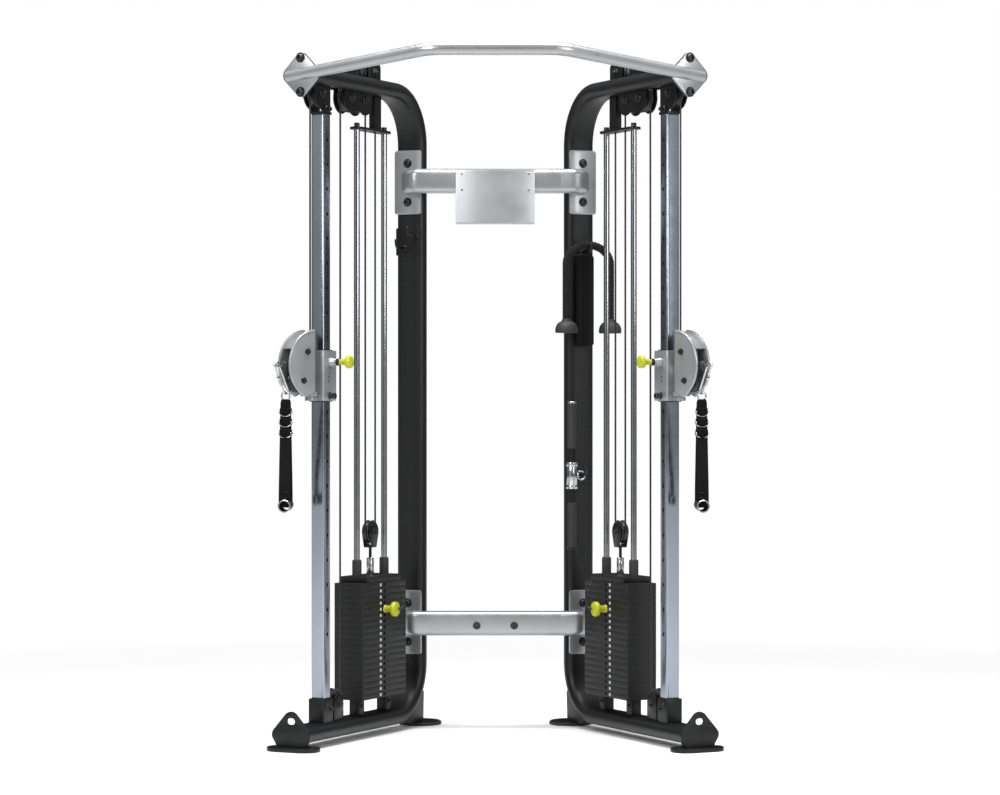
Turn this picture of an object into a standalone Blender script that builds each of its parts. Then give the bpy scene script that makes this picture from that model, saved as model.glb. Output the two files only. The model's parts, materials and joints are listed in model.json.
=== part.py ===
"""Cable crossover machine: two toed-in weight-stack towers joined by cross members.

Metres, +Z up.  The origin is the middle of the footprint, on the floor.  Each tower is modelled in
its own frame: +X runs rearward along the tower, the tower's inner side (towards the user) is
sign * Y, and an empty places that frame in the world.
"""

import math
from collections import namedtuple

import bmesh
import bpy
from mathutils import Matrix, Vector

OBJECT_NAME = "cable_crossover_machine"

# Towers
TOE_ANGLE = math.radians(26.0)      # each tower plane runs rearward and inward by this angle
TOWER_X = 0.6176                    # front foot centre, from the middle of the machine
TOWER_Y = -0.3077                   # front foot centre, so that the footprint is centred
GAP = 0.0003                        # clearance between touching pieces
SIDES = 14                          # sides of round pieces
SMALL_SIDES = 8                     # sides of small round pieces
AXLE_BORE_SIDES = 9                 # sides of the bores that hold the axles

# Main frame tube: a flat oval, bent to a C
TUBE_WIDE = 0.100
TUBE_THICK = 0.050
RUN_LOW_Z = 0.046
RUN_TOP_Z = 2.058
UPRIGHT_T = 0.790
BEND_RADIUS = 0.165
TOP_RUN_START = 0.070
LOW_RUN_START = 0.0

# Feet
BASE_THICK = 0.012
FRONT_FOOT_LONG = 0.173
FRONT_FOOT_WIDE = 0.095
FRONT_FOOT_T = 0.012
GUSSET_THICK = 0.008
REAR_FOOT_T = 0.845
REAR_FOOT_RADIUS = 0.070

# Column and its carriage
COLUMN_T = 0.181
COLUMN_SIZE = 0.045
COLUMN_CORNER = 0.005
COLUMN_LOW_Z = 0.080
COLUMN_TOP_Z = 1.945
HOLE_PITCH = 0.0762
HOLE_COUNT = 21
FIRST_HOLE_Z = 0.343
HOLE_RADIUS = 0.0063
REST_HOLE = 11
SLEEVE_HALF = 0.032
SLEEVE_CLEARANCE = 0.0008
SLEEVE_FRONT_T = 0.1415
SLEEVE_REAR_T = 0.225
SLEEVE_LOW_Z = 1.062
SLEEVE_TOP_Z = 1.217
LUG_THICK = 0.012
POP_PIN_Z = 1.1812
PIVOT_RADIUS = 0.008
SWIVEL_T = 0.114

# Cable
CABLE_RADIUS = 0.003
GROOVE_HALF = 0.0042
GROOVE_CLEARANCE = 0.0016
RIM_HEIGHT = 0.008

# Pulleys: (tower t, height, pitch radius)
FRONT_PULLEY = (0.154, 2.008, 0.040)
GUIDE_PULLEY_A = (0.3426, 2.011, 0.038)
GUIDE_PULLEY_B = (0.430, 2.011, 0.038)
UPPER_PULLEY = (0.494, 2.104, 0.040)
FLOATING_PULLEY = (0.501, 0.646, 0.033)   # straight above the selector stem
BOTTOM_PULLEY = (0.2596, 0.1222, 0.0436)
PULLEY_WIDTH = 0.020
CHEEK_THICK = 0.004
CHEEK_OUTSIDE = 0.0205
AXLE_RADIUS = 0.006

# Weight stack
STACK_T = 0.503
STACK_LONG = 0.290
STACK_WIDE = 0.104
STACK_LOW_Z = 0.122
PLATE_PITCH = 0.0193
PLATE_COUNT = 20
LIFTED_COUNT = 6
HEAD_LONG = 0.220
ROD_RADIUS = 0.0095
ROD_FRONT_T = 0.4126
ROD_REAR_T = 0.594
ROD_BORE_RADIUS = 0.0125
COLLAR_RADIUS = 0.015
COLLAR_HIGH = 0.053
RETAINER_Z = 1.922
RETAINER_THICK = 0.008
RETAINER_LONG = 0.2254
RETAINER_WIDE = 0.044
STEM_RADIUS = 0.011
STEM_BORE_RADIUS = 0.013
STEM_T = 0.501
PIN_RADIUS = 0.0045
PIN_BORE_RADIUS = 0.0048

# Swivel housing, in its own frame: +X along the arm, +Y across it
ARM_ANGLE = {"left": math.radians(-133.5), "right": math.radians(-54.0)}
HOUSING_Z = 1.173
HOUSING_RADIUS = 0.107
HOUSING_HALF = 0.026
HOUSING_CHEEK_THICK = 0.006
HOUSING_EDGE_P = 0.002
UPPER_SHEAVE = (0.034, 1.2125, 0.034)
LOWER_SHEAVE = (0.050, 1.124, 0.0335)
EXIT_Z = 1.1735
BALL_P = 0.1055
BALL_RADIUS = 0.0140
HOOK_TOP_P = 0.138
HOOK_HALF = 0.0095
HOOK_WIRE = 0.0032
RING_WIRE = 0.0025
RING_RADIUS = 0.0135
HANDLE_P = 0.101
HANDLE_TOP_Z = 1.093
GRIP_Z = 0.744

# Cross members
CROSS_PLATE_WIDE = 0.096
CROSS_PLATE_HIGH = 0.208
CROSS_PLATE_THICK = 0.008
UPPER_CROSS_Z = 1.773
LOWER_CROSS_Z = 0.341
CROSS_TUBE_HIGH = 0.080
CROSS_TUBE_THICK = 0.040

# Pull-up bar
BAR_RADIUS = 0.019
BAR_Z = 2.1075
BAR_Y = TOWER_Y - 0.195
BAR_HALF_STRAIGHT = 0.198
DIAMOND_THICK = 0.008

# Accessories on the right upright
ROPE_RADIUS = 0.0125
STRAIGHT_BAR_N = 0.052
STRAIGHT_BAR_Z = 0.819
EYE_N = 0.019
EYE_RADIUS = 0.0135
EYE_WIRE = 0.003
PEG_RADIUS = 0.005

Tower = namedtuple("Tower", "name sign frame")


# ---------------------------------------------------------------- helpers

def clear_scene():
    for item in list(bpy.data.objects):
        bpy.data.objects.remove(item, do_unlink=True)


def make_collection(name):
    collection = bpy.data.collections.new(name)
    bpy.context.scene.collection.children.link(collection)
    return collection


def make_material(name, colour, roughness, metallic):
    material = bpy.data.materials.new(name)
    material.use_nodes = True
    shader = material.node_tree.nodes["Principled BSDF"]
    shader.inputs["Base Color"].default_value = (*colour, 1.0)
    shader.inputs["Roughness"].default_value = roughness
    shader.inputs["Metallic"].default_value = metallic
    material.diffuse_color = (*colour, 1.0)
    return material


def add_object(name, data, parent=None, location=(0, 0, 0), turn=0.0):
    item = bpy.data.objects.new(name, data)
    PARTS.objects.link(item)
    item.parent = parent
    item.location = location
    item.rotation_euler.z = turn
    return item


def from_bmesh(name, shape, parent=None, location=(0, 0, 0), turn=0.0):
    mesh = bpy.data.meshes.new(name)
    shape.to_mesh(mesh)
    shape.free()
    return add_object(name, mesh, parent, location, turn)


def box(name, size, centre=(0, 0, 0), parent=None, location=(0, 0, 0), turn=0.0):
    shape = bmesh.new()
    place = Matrix.Translation(centre) @ Matrix.Diagonal((*size, 1))
    bmesh.ops.create_cube(shape, size=1.0, matrix=place)
    return from_bmesh(name, shape, parent, location, turn)


def axis_matrix(centre, axis):
    turn = Vector((0, 0, 1)).rotation_difference(Vector(axis))
    return Matrix.Translation(centre) @ turn.to_matrix().to_4x4()


def cylinder(name, radius, depth, centre=(0, 0, 0), axis=(0, 0, 1), sides=SIDES, **place):
    shape = bmesh.new()
    bmesh.ops.create_cone(shape, cap_ends=True, segments=sides, radius1=radius, radius2=radius,
                          depth=depth, matrix=axis_matrix(centre, axis))
    return from_bmesh(name, shape, **place)


def bore_radius(radius, sides):
    """The radius of a many-sided bore that clears a round pin."""
    return radius / math.cos(math.pi / sides) + GAP


def ball(name, radius, centre, sides=14, **place):
    shape = bmesh.new()
    bmesh.ops.create_uvsphere(shape, u_segments=sides, v_segments=sides // 2, radius=radius,
                              matrix=Matrix.Translation(centre))
    return from_bmesh(name, shape, **place)


def bake(item):
    """Replace an object by the plain mesh that its curve or modifiers make."""
    bpy.context.view_layer.update()
    evaluated = item.evaluated_get(bpy.context.evaluated_depsgraph_get())
    mesh = bpy.data.meshes.new_from_object(evaluated)
    shape = bmesh.new()
    shape.from_mesh(mesh)
    bmesh.ops.remove_doubles(shape, verts=shape.verts, dist=0.00001)
    shape.to_mesh(mesh)
    shape.free()
    baked = add_object("baked", mesh, item.parent, item.location.copy(), item.rotation_euler.z)
    name = item.name
    bpy.data.objects.remove(item, do_unlink=True)
    baked.name = name
    return baked


def combine(target, tool, operation):
    modifier = target.modifiers.new("Boolean", "BOOLEAN")
    modifier.operation = operation
    modifier.solver = "EXACT"
    modifier.object = tool
    result = bake(target)
    bpy.data.objects.remove(tool, do_unlink=True)
    return result


def weld_on(target, *tools):
    for tool in tools:
        target = combine(target, tool, "UNION")
    return target


def cut_out(target, *tools):
    for tool in tools:
        target = combine(target, tool, "DIFFERENCE")
    return target


def arc(centre, radius, start, stop, steps):
    """Points on an arc in a plane, in degrees."""
    points = []
    for step in range(steps + 1):
        angle = math.radians(start + (stop - start) * step / steps)
        points.append((centre[0] + radius * math.cos(angle), centre[1] + radius * math.sin(angle)))
    return points


def rounded_outline(corners, steps=5):
    """An outline through convex corners (x, y, radius), each corner an arc."""
    points = []
    count = len(corners)
    for index, (x, y, radius) in enumerate(corners):
        here = Vector((x, y))
        before = (Vector(corners[index - 1][:2]) - here).normalized()
        after = (Vector(corners[(index + 1) % count][:2]) - here).normalized()
        half = before.angle(after) / 2
        centre = here + (before + after).normalized() * radius / math.sin(half)
        first = here + before * radius / math.tan(half) - centre
        last = here + after * radius / math.tan(half) - centre
        sweep = first.angle_signed(last) * -1
        for step in range(steps + 1):
            turn = Matrix.Rotation(sweep * step / steps, 2)
            points.append(tuple(centre + turn @ first))
    return points


def flat_shape(name, outlines, thick, **place):
    """A flat outline, with any further outlines as holes, extruded both ways from its plane."""
    curve = bpy.data.curves.new(name, "CURVE")
    curve.dimensions = "2D"
    curve.fill_mode = "BOTH"
    curve.extrude = thick / 2
    for outline in outlines:
        spline = curve.splines.new("POLY")
        spline.points.add(len(outline) - 1)
        spline.use_cyclic_u = True
        for point, (x, y) in zip(spline.points, outline):
            point.co = (x, y, 0, 1)
    return bake(add_object(name, curve, **place))


def turn_mesh(item, matrix):
    item.data.transform(matrix)
    return item


# maps a flat shape drawn in (x, z) onto the upright plane of a tower
UPRIGHT_PLANE = Matrix.Rotation(math.radians(90), 4, "X")
# maps a flat shape drawn in (y, z) onto the plane across a tower
ACROSS_PLANE = Matrix.Rotation(math.radians(90), 4, "Z") @ Matrix.Rotation(math.radians(90), 4, "X")


def wire(name, points, radius, resolution=2, closed=False, **place):
    curve = bpy.data.curves.new(name, "CURVE")
    curve.dimensions = "3D"
    curve.bevel_depth = radius
    curve.bevel_resolution = resolution
    curve.use_fill_caps = True
    spline = curve.splines.new("POLY")
    spline.points.add(len(points) - 1)
    spline.use_cyclic_u = closed
    for point, place_of in zip(spline.points, points):
        point.co = (*place_of, 1)
    return bake(add_object(name, curve, **place))


def stadium(long, wide, steps=4):
    """A flat oval outline, long side along X."""
    reach = (long - wide) / 2
    return arc((reach, 0), wide / 2, -90, 90, steps) + arc((-reach, 0), wide / 2, 90, 270, steps)


def oval_tube(name, points, long, wide, upright=False, **place):
    """A flat-oval bar swept along points; its long side is level, or upright."""
    profile_curve = bpy.data.curves.new("oval_profile", "CURVE")
    profile_curve.dimensions = "2D"
    outline = list(reversed(stadium(long, wide)))
    if upright:
        outline = [(-y, x) for x, y in outline]
    spline = profile_curve.splines.new("POLY")
    spline.points.add(len(outline) - 1)
    spline.use_cyclic_u = True
    for point, (x, y) in zip(spline.points, outline):
        point.co = (x, y, 0, 1)
    profile = bpy.data.objects.new("oval_profile", profile_curve)
    GUIDES.objects.link(profile)
    curve = bpy.data.curves.new(name, "CURVE")
    curve.dimensions = "3D"
    curve.twist_mode = "Z_UP"
    curve.bevel_mode = "OBJECT"
    curve.bevel_object = profile
    curve.use_fill_caps = True
    path = curve.splines.new("POLY")
    path.points.add(len(points) - 1)
    for point, place_of in zip(path.points, points):
        point.co = (*place_of, 1)
    tube = bake(add_object(name, curve, **place))
    bpy.data.objects.remove(profile, do_unlink=True)
    return tube


def turned(name, profile, matrix, **place):
    """A solid of revolution: profile (radius, height) pairs run down the outer side."""
    mesh = bpy.data.meshes.new(name)
    points = [(radius, 0, height) for radius, height in profile]
    mesh.from_pydata(points, [(i, i + 1) for i in range(len(points) - 1)], [])
    item = add_object(name, mesh, **place)
    screw = item.modifiers.new("Screw", "SCREW")
    screw.axis = "Z"
    screw.steps = SIDES
    screw.render_steps = SIDES
    screw.use_merge_vertices = True
    screw.merge_threshold = 0.00001
    return turn_mesh(bake(item), matrix)


def finish_piece(item, material):
    item.data.materials.clear()
    item.data.materials.append(material)
    item.data.shade_smooth()
    item.data.set_sharp_from_angle(angle=math.radians(35))
    return item


def side_place(tower, t, n, z):
    return (t, tower.sign * n, z)


def facing_side(tower):
    """Turns a piece made along +Z to point at the tower's inner side."""
    return axis_matrix((0, 0, 0), (0, tower.sign, 0))


def move_origin(item, origin):
    """Put the object's origin on a point of its parent's frame, leaving the mesh where it is."""
    item.data.transform(Matrix.Translation(-Vector(origin)))
    item.location = origin
    return item


# ---------------------------------------------------------------- frame

def pulley_cheeks(tower, outline, height_of):
    """Two flat cheeks, one on each side of a pulley."""
    middle = CHEEK_OUTSIDE - CHEEK_THICK / 2
    cheeks = []
    for offset in (-middle, middle):
        cheek = flat_shape("cheek", [outline], CHEEK_THICK, parent=tower.frame)
        turn_mesh(cheek, Matrix.Translation((0, offset, height_of)) @ UPRIGHT_PLANE)
        cheeks.append(cheek)
    return cheeks


def frame_path():
    low_centre = (UPRIGHT_T - BEND_RADIUS, RUN_LOW_Z + BEND_RADIUS)
    top_centre = (UPRIGHT_T - BEND_RADIUS, RUN_TOP_Z - BEND_RADIUS)
    points = [(LOW_RUN_START, RUN_LOW_Z)]
    points += arc(low_centre, BEND_RADIUS, -90, 0, 6)
    points += arc(top_centre, BEND_RADIUS, 0, 90, 6)
    points += [(TOP_RUN_START, RUN_TOP_Z)]
    return [(t, 0, z) for t, z in points]


def front_foot(tower):
    base = flat_shape("base", [stadium(FRONT_FOOT_LONG, FRONT_FOOT_WIDE)], BASE_THICK, parent=tower.frame)
    across = Matrix.Rotation(math.pi / 2, 4, "Z")
    turn_mesh(base, Matrix.Translation((FRONT_FOOT_T, 0, BASE_THICK / 2)) @ across)
    corners = [(-0.045, 0.008, 0.012), (0.045, 0.008, 0.012), (0.072, 0.052, 0.022),
               (0.0, 0.134, 0.026), (-0.072, 0.052, 0.022)]
    plate = rounded_outline(corners)
    hole = [(x, z + 0.0906) for x, z in stadium(0.028, 0.020, 5)]
    gusset = flat_shape("gusset", [plate, hole], GUSSET_THICK, parent=tower.frame)
    turn_mesh(gusset, Matrix.Translation((-0.001, 0, 0)) @ ACROSS_PLANE)
    riser = box("riser", (0.060, 0.060, 0.020), (0.030, 0, 0.018), parent=tower.frame)
    return [base, gusset, riser]


def rear_foot(tower):
    disc = cylinder("disc", REAR_FOOT_RADIUS, BASE_THICK, (REAR_FOOT_T, 0, BASE_THICK / 2),
                    sides=28, parent=tower.frame)
    outline = [(0.700, 0.030), (0.745, 0.006), (0.815, 0.006), (0.832, 0.022), (0.836, 0.110),
               (0.790, 0.130)]
    leg = flat_shape("leg", [outline], 0.040, parent=tower.frame)
    turn_mesh(leg, UPRIGHT_PLANE)
    return [disc, leg]


def top_brackets(tower):
    t, z, _ = FRONT_PULLEY
    front = arc((t, 0), 0.050, 180, 265, 6) + [(t + 0.002, -0.058), (t + 0.052, -0.058)]
    front += [(t + 0.052, 0.030), (t - 0.050, 0.030)]
    pieces = pulley_cheeks(tower, front, z)
    pieces.append(box("column_cap", (0.057, 0.046, 0.008), (COLUMN_T, 0, COLUMN_TOP_Z + 0.0045),
                      parent=tower.frame))
    a_t, a_z, _ = GUIDE_PULLEY_A
    b_t = GUIDE_PULLEY_B[0]
    lobes = arc((a_t, 0), 0.049, 185, 303, 7) + arc((b_t, 0), 0.049, 237, 355, 7)
    guide = lobes + [(b_t + 0.046, 0.030), (a_t - 0.044, 0.030)]
    pieces += pulley_cheeks(tower, guide, a_z)
    return pieces


def upper_bracket(tower):
    t, z, _ = UPPER_PULLEY
    outline = [(t - 0.037, -0.034), (t + 0.040, -0.034), (t + 0.040, 0.020), (t + 0.028, 0.033),
               (t - 0.037, 0.033)]
    pieces = pulley_cheeks(tower, outline, z)
    for offset in (-0.0065, 0.0065):
        pieces.append(box("guard", (0.110, 0.004, 0.044), (0.355, offset, 2.098), parent=tower.frame))
    pieces.append(box("guard_foot", (0.112, 0.016, 0.004), (0.355, 0, 2.0826), parent=tower.frame))
    return pieces


def lower_fittings(tower):
    """Column socket, bottom pulley cheeks and the two blocks under the guide rods."""
    pieces = [box("socket", (0.062, 0.056, 0.079), (COLUMN_T, 0, 0.1055), parent=tower.frame)]
    t, z, _ = BOTTOM_PULLEY
    outline = arc((t, 0), 0.030, 8, 172, 6) + [(t - 0.030, -0.056), (t + 0.030, -0.056)]
    pieces += pulley_cheeks(tower, outline, z)
    for rod_t in (ROD_FRONT_T, ROD_REAR_T):
        pieces.append(box("rod_block", (0.036, 0.036, 0.061), (rod_t, 0, 0.0905), parent=tower.frame))
    return pieces


def hanger(tower):
    """The channel that carries the guide rods' retainer from the top run, open to the rear."""
    front, rear, half, wall = 0.512, 0.556, 0.010, 0.003
    outline = [(front, -half), (rear, -half), (rear, wall - half), (front + wall, wall - half),
               (front + wall, half - wall), (rear, half - wall), (rear, half), (front, half)]
    low = RETAINER_Z + RETAINER_THICK / 2 + GAP
    high = RUN_TOP_Z - 0.013
    channel = flat_shape("hanger", [outline], high - low, parent=tower.frame)
    turn_mesh(channel, Matrix.Translation((0, 0, (high + low) / 2)))
    return channel


def diamond_outline():
    corners = [(-0.072, 0, 0.026), (0, -0.075, 0.016), (0.072, 0, 0.026), (0, 0.075, 0.016)]
    return rounded_outline(corners)


def diamond_plate(tower, t):
    plate = flat_shape("diamond", [diamond_outline()], DIAMOND_THICK, parent=tower.frame)
    return turn_mesh(plate, Matrix.Translation((t, 0, RUN_TOP_Z - 0.002)) @ ACROSS_PLANE)


def slot_tools(tower):
    """Slots in the tube's top run for the pulleys and the cable."""
    through = box("slot", (0.200, 0.030, 0.200), (0.202, 0, RUN_TOP_Z), parent=tower.frame)
    under = box("slot", (0.196, 0.030, 0.050), (0.388, 0, RUN_TOP_Z - 0.014), parent=tower.frame)
    fall = box("slot", (0.018, 0.030, 0.200), (0.534, 0, RUN_TOP_Z), parent=tower.frame)
    top = box("slot", (0.110, 0.0295, 0.050), (0.494, 0, RUN_TOP_Z + 0.020), parent=tower.frame)
    return [through, under, fall, top]


def guard_slot(tower):
    return box("slot", (0.140, 0.0088, 0.050), (0.355, 0, RUN_TOP_Z + 0.0385), parent=tower.frame)


def side_frame(tower):
    frame = oval_tube(f"{tower.name}_side_frame", frame_path(), TUBE_WIDE, TUBE_THICK, parent=tower.frame)
    frame = weld_on(frame, *front_foot(tower), *rear_foot(tower))
    frame = cut_out(frame, *slot_tools(tower))
    frame = weld_on(frame, *top_brackets(tower), *upper_bracket(tower), *lower_fittings(tower))
    frame = weld_on(frame, hanger(tower))
    frame = weld_on(frame, diamond_plate(tower, TOP_RUN_START - 0.003))
    frame = cut_out(frame, guard_slot(tower), *fitting_bores(tower))
    return finish_piece(frame, BLACK)


def fitting_bores(tower):
    """Bores that hold the column's foot, the guide rods and the pulley axles."""
    bores = [box("bore", (COLUMN_SIZE + 2 * GAP, COLUMN_SIZE + 2 * GAP, 0.100),
                 (COLUMN_T, 0, COLUMN_LOW_Z - GAP + 0.050), parent=tower.frame)]
    for rod_t in (ROD_FRONT_T, ROD_REAR_T):
        bores.append(cylinder("bore", bore_radius(ROD_RADIUS, SIDES), 0.060, (rod_t, 0, 0.110),
                              parent=tower.frame))
    axles = bmesh.new()
    radius = bore_radius(AXLE_RADIUS, AXLE_BORE_SIDES)
    for t, z, _ in (FRONT_PULLEY, GUIDE_PULLEY_A, GUIDE_PULLEY_B, UPPER_PULLEY, BOTTOM_PULLEY):
        bmesh.ops.create_cone(axles, cap_ends=True, segments=AXLE_BORE_SIDES, radius1=radius, radius2=radius,
                              depth=0.080, matrix=axis_matrix((t, 0, z), (0, 1, 0)))
    bores.append(from_bmesh("drill", axles, parent=tower.frame))
    return bores


# ---------------------------------------------------------------- column and carriage

def column(tower):
    half = COLUMN_SIZE / 2
    corners = [(-half, -half, COLUMN_CORNER), (half, -half, COLUMN_CORNER),
               (half, half, COLUMN_CORNER), (-half, half, COLUMN_CORNER)]
    length = COLUMN_TOP_Z - COLUMN_LOW_Z
    post = flat_shape(f"{tower.name}_column", [rounded_outline(corners, 3)], length, parent=tower.frame)
    turn_mesh(post, Matrix.Translation((COLUMN_T, 0, COLUMN_LOW_Z + length / 2)))
    holes = bmesh.new()
    depth = 0.030
    for index in range(HOLE_COUNT):
        centre = side_place(tower, COLUMN_T, half, FIRST_HOLE_Z + HOLE_PITCH * index)
        bmesh.ops.create_cone(holes, cap_ends=True, segments=6, radius1=HOLE_RADIUS, radius2=HOLE_RADIUS,
                              depth=depth, matrix=axis_matrix(centre, (0, 1, 0)))
    drill = from_bmesh("drill", holes, parent=tower.frame)
    return finish_piece(cut_out(post, drill), CHROME)


def carriage(tower):
    """Sleeve on the column, with the swivel's lug in front and the pop pin's barrel on its inner side."""
    high = SLEEVE_TOP_Z - SLEEVE_LOW_Z
    middle_z = (SLEEVE_TOP_Z + SLEEVE_LOW_Z) / 2
    long = SLEEVE_REAR_T - SLEEVE_FRONT_T
    body = box(f"{tower.name}_carriage", (long, 2 * SLEEVE_HALF, high),
               ((SLEEVE_REAR_T + SLEEVE_FRONT_T) / 2, 0, middle_z), parent=tower.frame)
    hollow = COLUMN_SIZE + 2 * SLEEVE_CLEARANCE
    body = cut_out(body, box("space", (hollow, hollow, 1.0), (COLUMN_T, 0, middle_z), parent=tower.frame))
    lug_z = SLEEVE_LOW_Z + LUG_THICK / 2
    lug = cylinder("lug", 0.016, LUG_THICK, (SWIVEL_T, 0, lug_z + 0.0002), parent=tower.frame)
    nose = box("nose", (0.032, 0.024, LUG_THICK - 0.0010), (0.1300, 0, lug_z + 0.0001), parent=tower.frame)
    barrel = cylinder("barrel", 0.013, 0.026, side_place(tower, COLUMN_T, SLEEVE_HALF + 0.0125, POP_PIN_Z),
                      (0, 1, 0), parent=tower.frame)
    body = weld_on(body, lug, nose, barrel)
    pivot_bore = cylinder("bore", bore_radius(PIVOT_RADIUS, SIDES), 0.040, (SWIVEL_T, 0, lug_z),
                          parent=tower.frame)
    pin_bore = cylinder("bore", 0.0080, 0.060, side_place(tower, COLUMN_T, SLEEVE_HALF + 0.010, POP_PIN_Z),
                        (0, 1, 0), parent=tower.frame)
    return finish_piece(cut_out(body, pivot_bore, pin_bore), GREY_METAL)


def pop_pin(tower):
    z = FIRST_HOLE_Z + HOLE_PITCH * REST_HOLE
    tip = COLUMN_SIZE / 2 + 0.0004
    profile = [(0.0, tip), (0.0052, tip), (0.0052, 0.0685), (0.0100, 0.0687), (0.0100, 0.0855),
               (0.0195, 0.0935), (0.0195, 0.1015), (0.0120, 0.1085), (0.0, 0.1095)]
    profile = list(reversed(profile))
    place = Matrix.Translation(side_place(tower, COLUMN_T, 0, z)) @ facing_side(tower)
    pin = turned(f"{tower.name}_pop_pin", profile, place, parent=tower.frame)
    move_origin(pin, side_place(tower, COLUMN_T, SLEEVE_HALF + 0.026, z))
    return finish_piece(pin, KNOB_YELLOW)


# ---------------------------------------------------------------- pulleys

def pulley_profile(pitch_radius, axle_half):
    """Outline of a grooved wheel in one piece with its axle, from end to end."""
    groove = pitch_radius - CABLE_RADIUS - GROOVE_CLEARANCE
    rim = groove + RIM_HEIGHT
    half = PULLEY_WIDTH / 2
    upper = [(0.0, axle_half), (AXLE_RADIUS, axle_half), (AXLE_RADIUS, half), (rim, half),
             (groove, GROOVE_HALF)]
    return upper + [(radius, -height) for radius, height in reversed(upper)]


def pulley(name, parent, place, axle_half):
    """A grooved wheel with its axle in one piece, turning about Y of its frame."""
    t, z, pitch_radius = place
    matrix = Matrix.Rotation(math.radians(90), 4, "X")
    profile = pulley_profile(pitch_radius, axle_half)
    wheel = turned(name, profile, matrix, parent=parent, location=(t, 0, z))
    return finish_piece(wheel, PULLEY_BLACK)


def tower_pulleys(tower):
    rows = (("front_pulley", FRONT_PULLEY), ("guide_pulley_front", GUIDE_PULLEY_A),
            ("guide_pulley_rear", GUIDE_PULLEY_B), ("upper_pulley", UPPER_PULLEY),
            ("bottom_pulley", BOTTOM_PULLEY), ("floating_pulley", FLOATING_PULLEY))
    for name, place in rows:
        pulley(f"{tower.name}_{name}", tower.frame, place, CHEEK_OUTSIDE - 0.0005)


# ---------------------------------------------------------------- weight stack

def guide_rods(tower):
    low = 0.081
    high = RETAINER_Z + 0.002
    for name, t in (("front", ROD_FRONT_T), ("rear", ROD_REAR_T)):
        rod = cylinder(f"{tower.name}_guide_rod_{name}", ROD_RADIUS, high - low, (t, 0, (high + low) / 2),
                       sides=16, parent=tower.frame)
        finish_piece(rod, CHROME)


def rod_retainer(tower):
    outline = [(x + 0.5033, y) for x, y in stadium(RETAINER_LONG, RETAINER_WIDE)]
    holes = [stadium_at(t, 0.014) for t in (0.4690, 0.5340)]
    plate = flat_shape(f"{tower.name}_rod_retainer", [outline] + holes, RETAINER_THICK, parent=tower.frame)
    turn_mesh(plate, Matrix.Translation((0, 0, RETAINER_Z)))
    for t in (ROD_FRONT_T, ROD_REAR_T):
        nut = cylinder("nut", 0.0090, 0.014, (t, 0, RETAINER_Z + 0.0102), sides=SMALL_SIDES, parent=tower.frame)
        bore = cylinder("bore", bore_radius(ROD_RADIUS, SIDES), 0.060, (t, 0, RETAINER_Z - 0.0277),
                        parent=tower.frame)
        plate = cut_out(weld_on(plate, nut), bore)
    return finish_piece(plate, BLACK)


def stadium_at(t, size):
    return [(x + t, y) for x, y in stadium(size * 1.02, size, 4)]


def stack_plates(tower, name, low, count, head):
    """A pack of plates as one block, bored for the guide rods and the selector stem."""
    high = low + PLATE_PITCH * count
    body_top = high - (PLATE_PITCH if head else 0)
    pack = box(f"{tower.name}_{name}", (STACK_LONG, STACK_WIDE, body_top - low - GAP),
               (STACK_T, 0, (low + GAP + body_top) / 2), parent=tower.frame)
    if head:
        crown = box("crown", (HEAD_LONG, STACK_WIDE - 0.001, PLATE_PITCH + 0.002),
                    (STACK_T, 0, high - PLATE_PITCH / 2 - 0.001), parent=tower.frame)
        pack = weld_on(pack, crown)
        for t in (ROD_FRONT_T, ROD_REAR_T):
            collar = cylinder("collar", COLLAR_RADIUS, COLLAR_HIGH + 0.004,
                              (t, 0, high + COLLAR_HIGH / 2 - 0.002), sides=16, parent=tower.frame)
            pack = weld_on(pack, collar)
    bores = ((ROD_FRONT_T, ROD_BORE_RADIUS), (ROD_REAR_T, ROD_BORE_RADIUS), (STEM_T, STEM_BORE_RADIUS))
    for t, radius in bores:
        bore = cylinder("bore", radius, 1.6, (t, 0, 0.5), sides=16, parent=tower.frame)
        pack = cut_out(pack, bore)
    return pack


def weight_stack(tower):
    resting = PLATE_COUNT - LIFTED_COUNT
    pack = stack_plates(tower, "resting_plates", STACK_LOW_Z, resting, False)
    finish_piece(pack, PLATE_BLACK)
    low = STACK_LOW_Z + PLATE_PITCH * resting
    lifted = stack_plates(tower, "lifted_plates", low, LIFTED_COUNT, True)
    pin_hole = cylinder("bore", bore_radius(PIN_BORE_RADIUS, SMALL_SIDES), 0.150,
                        side_place(tower, STEM_T, 0.050, pin_height()), (0, 1, 0), SMALL_SIDES,
                        parent=tower.frame)
    finish_piece(cut_out(lifted, pin_hole), PLATE_BLACK)


def pin_height():
    return STACK_LOW_Z + PLATE_PITCH * (PLATE_COUNT - LIFTED_COUNT + 0.5)


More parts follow.
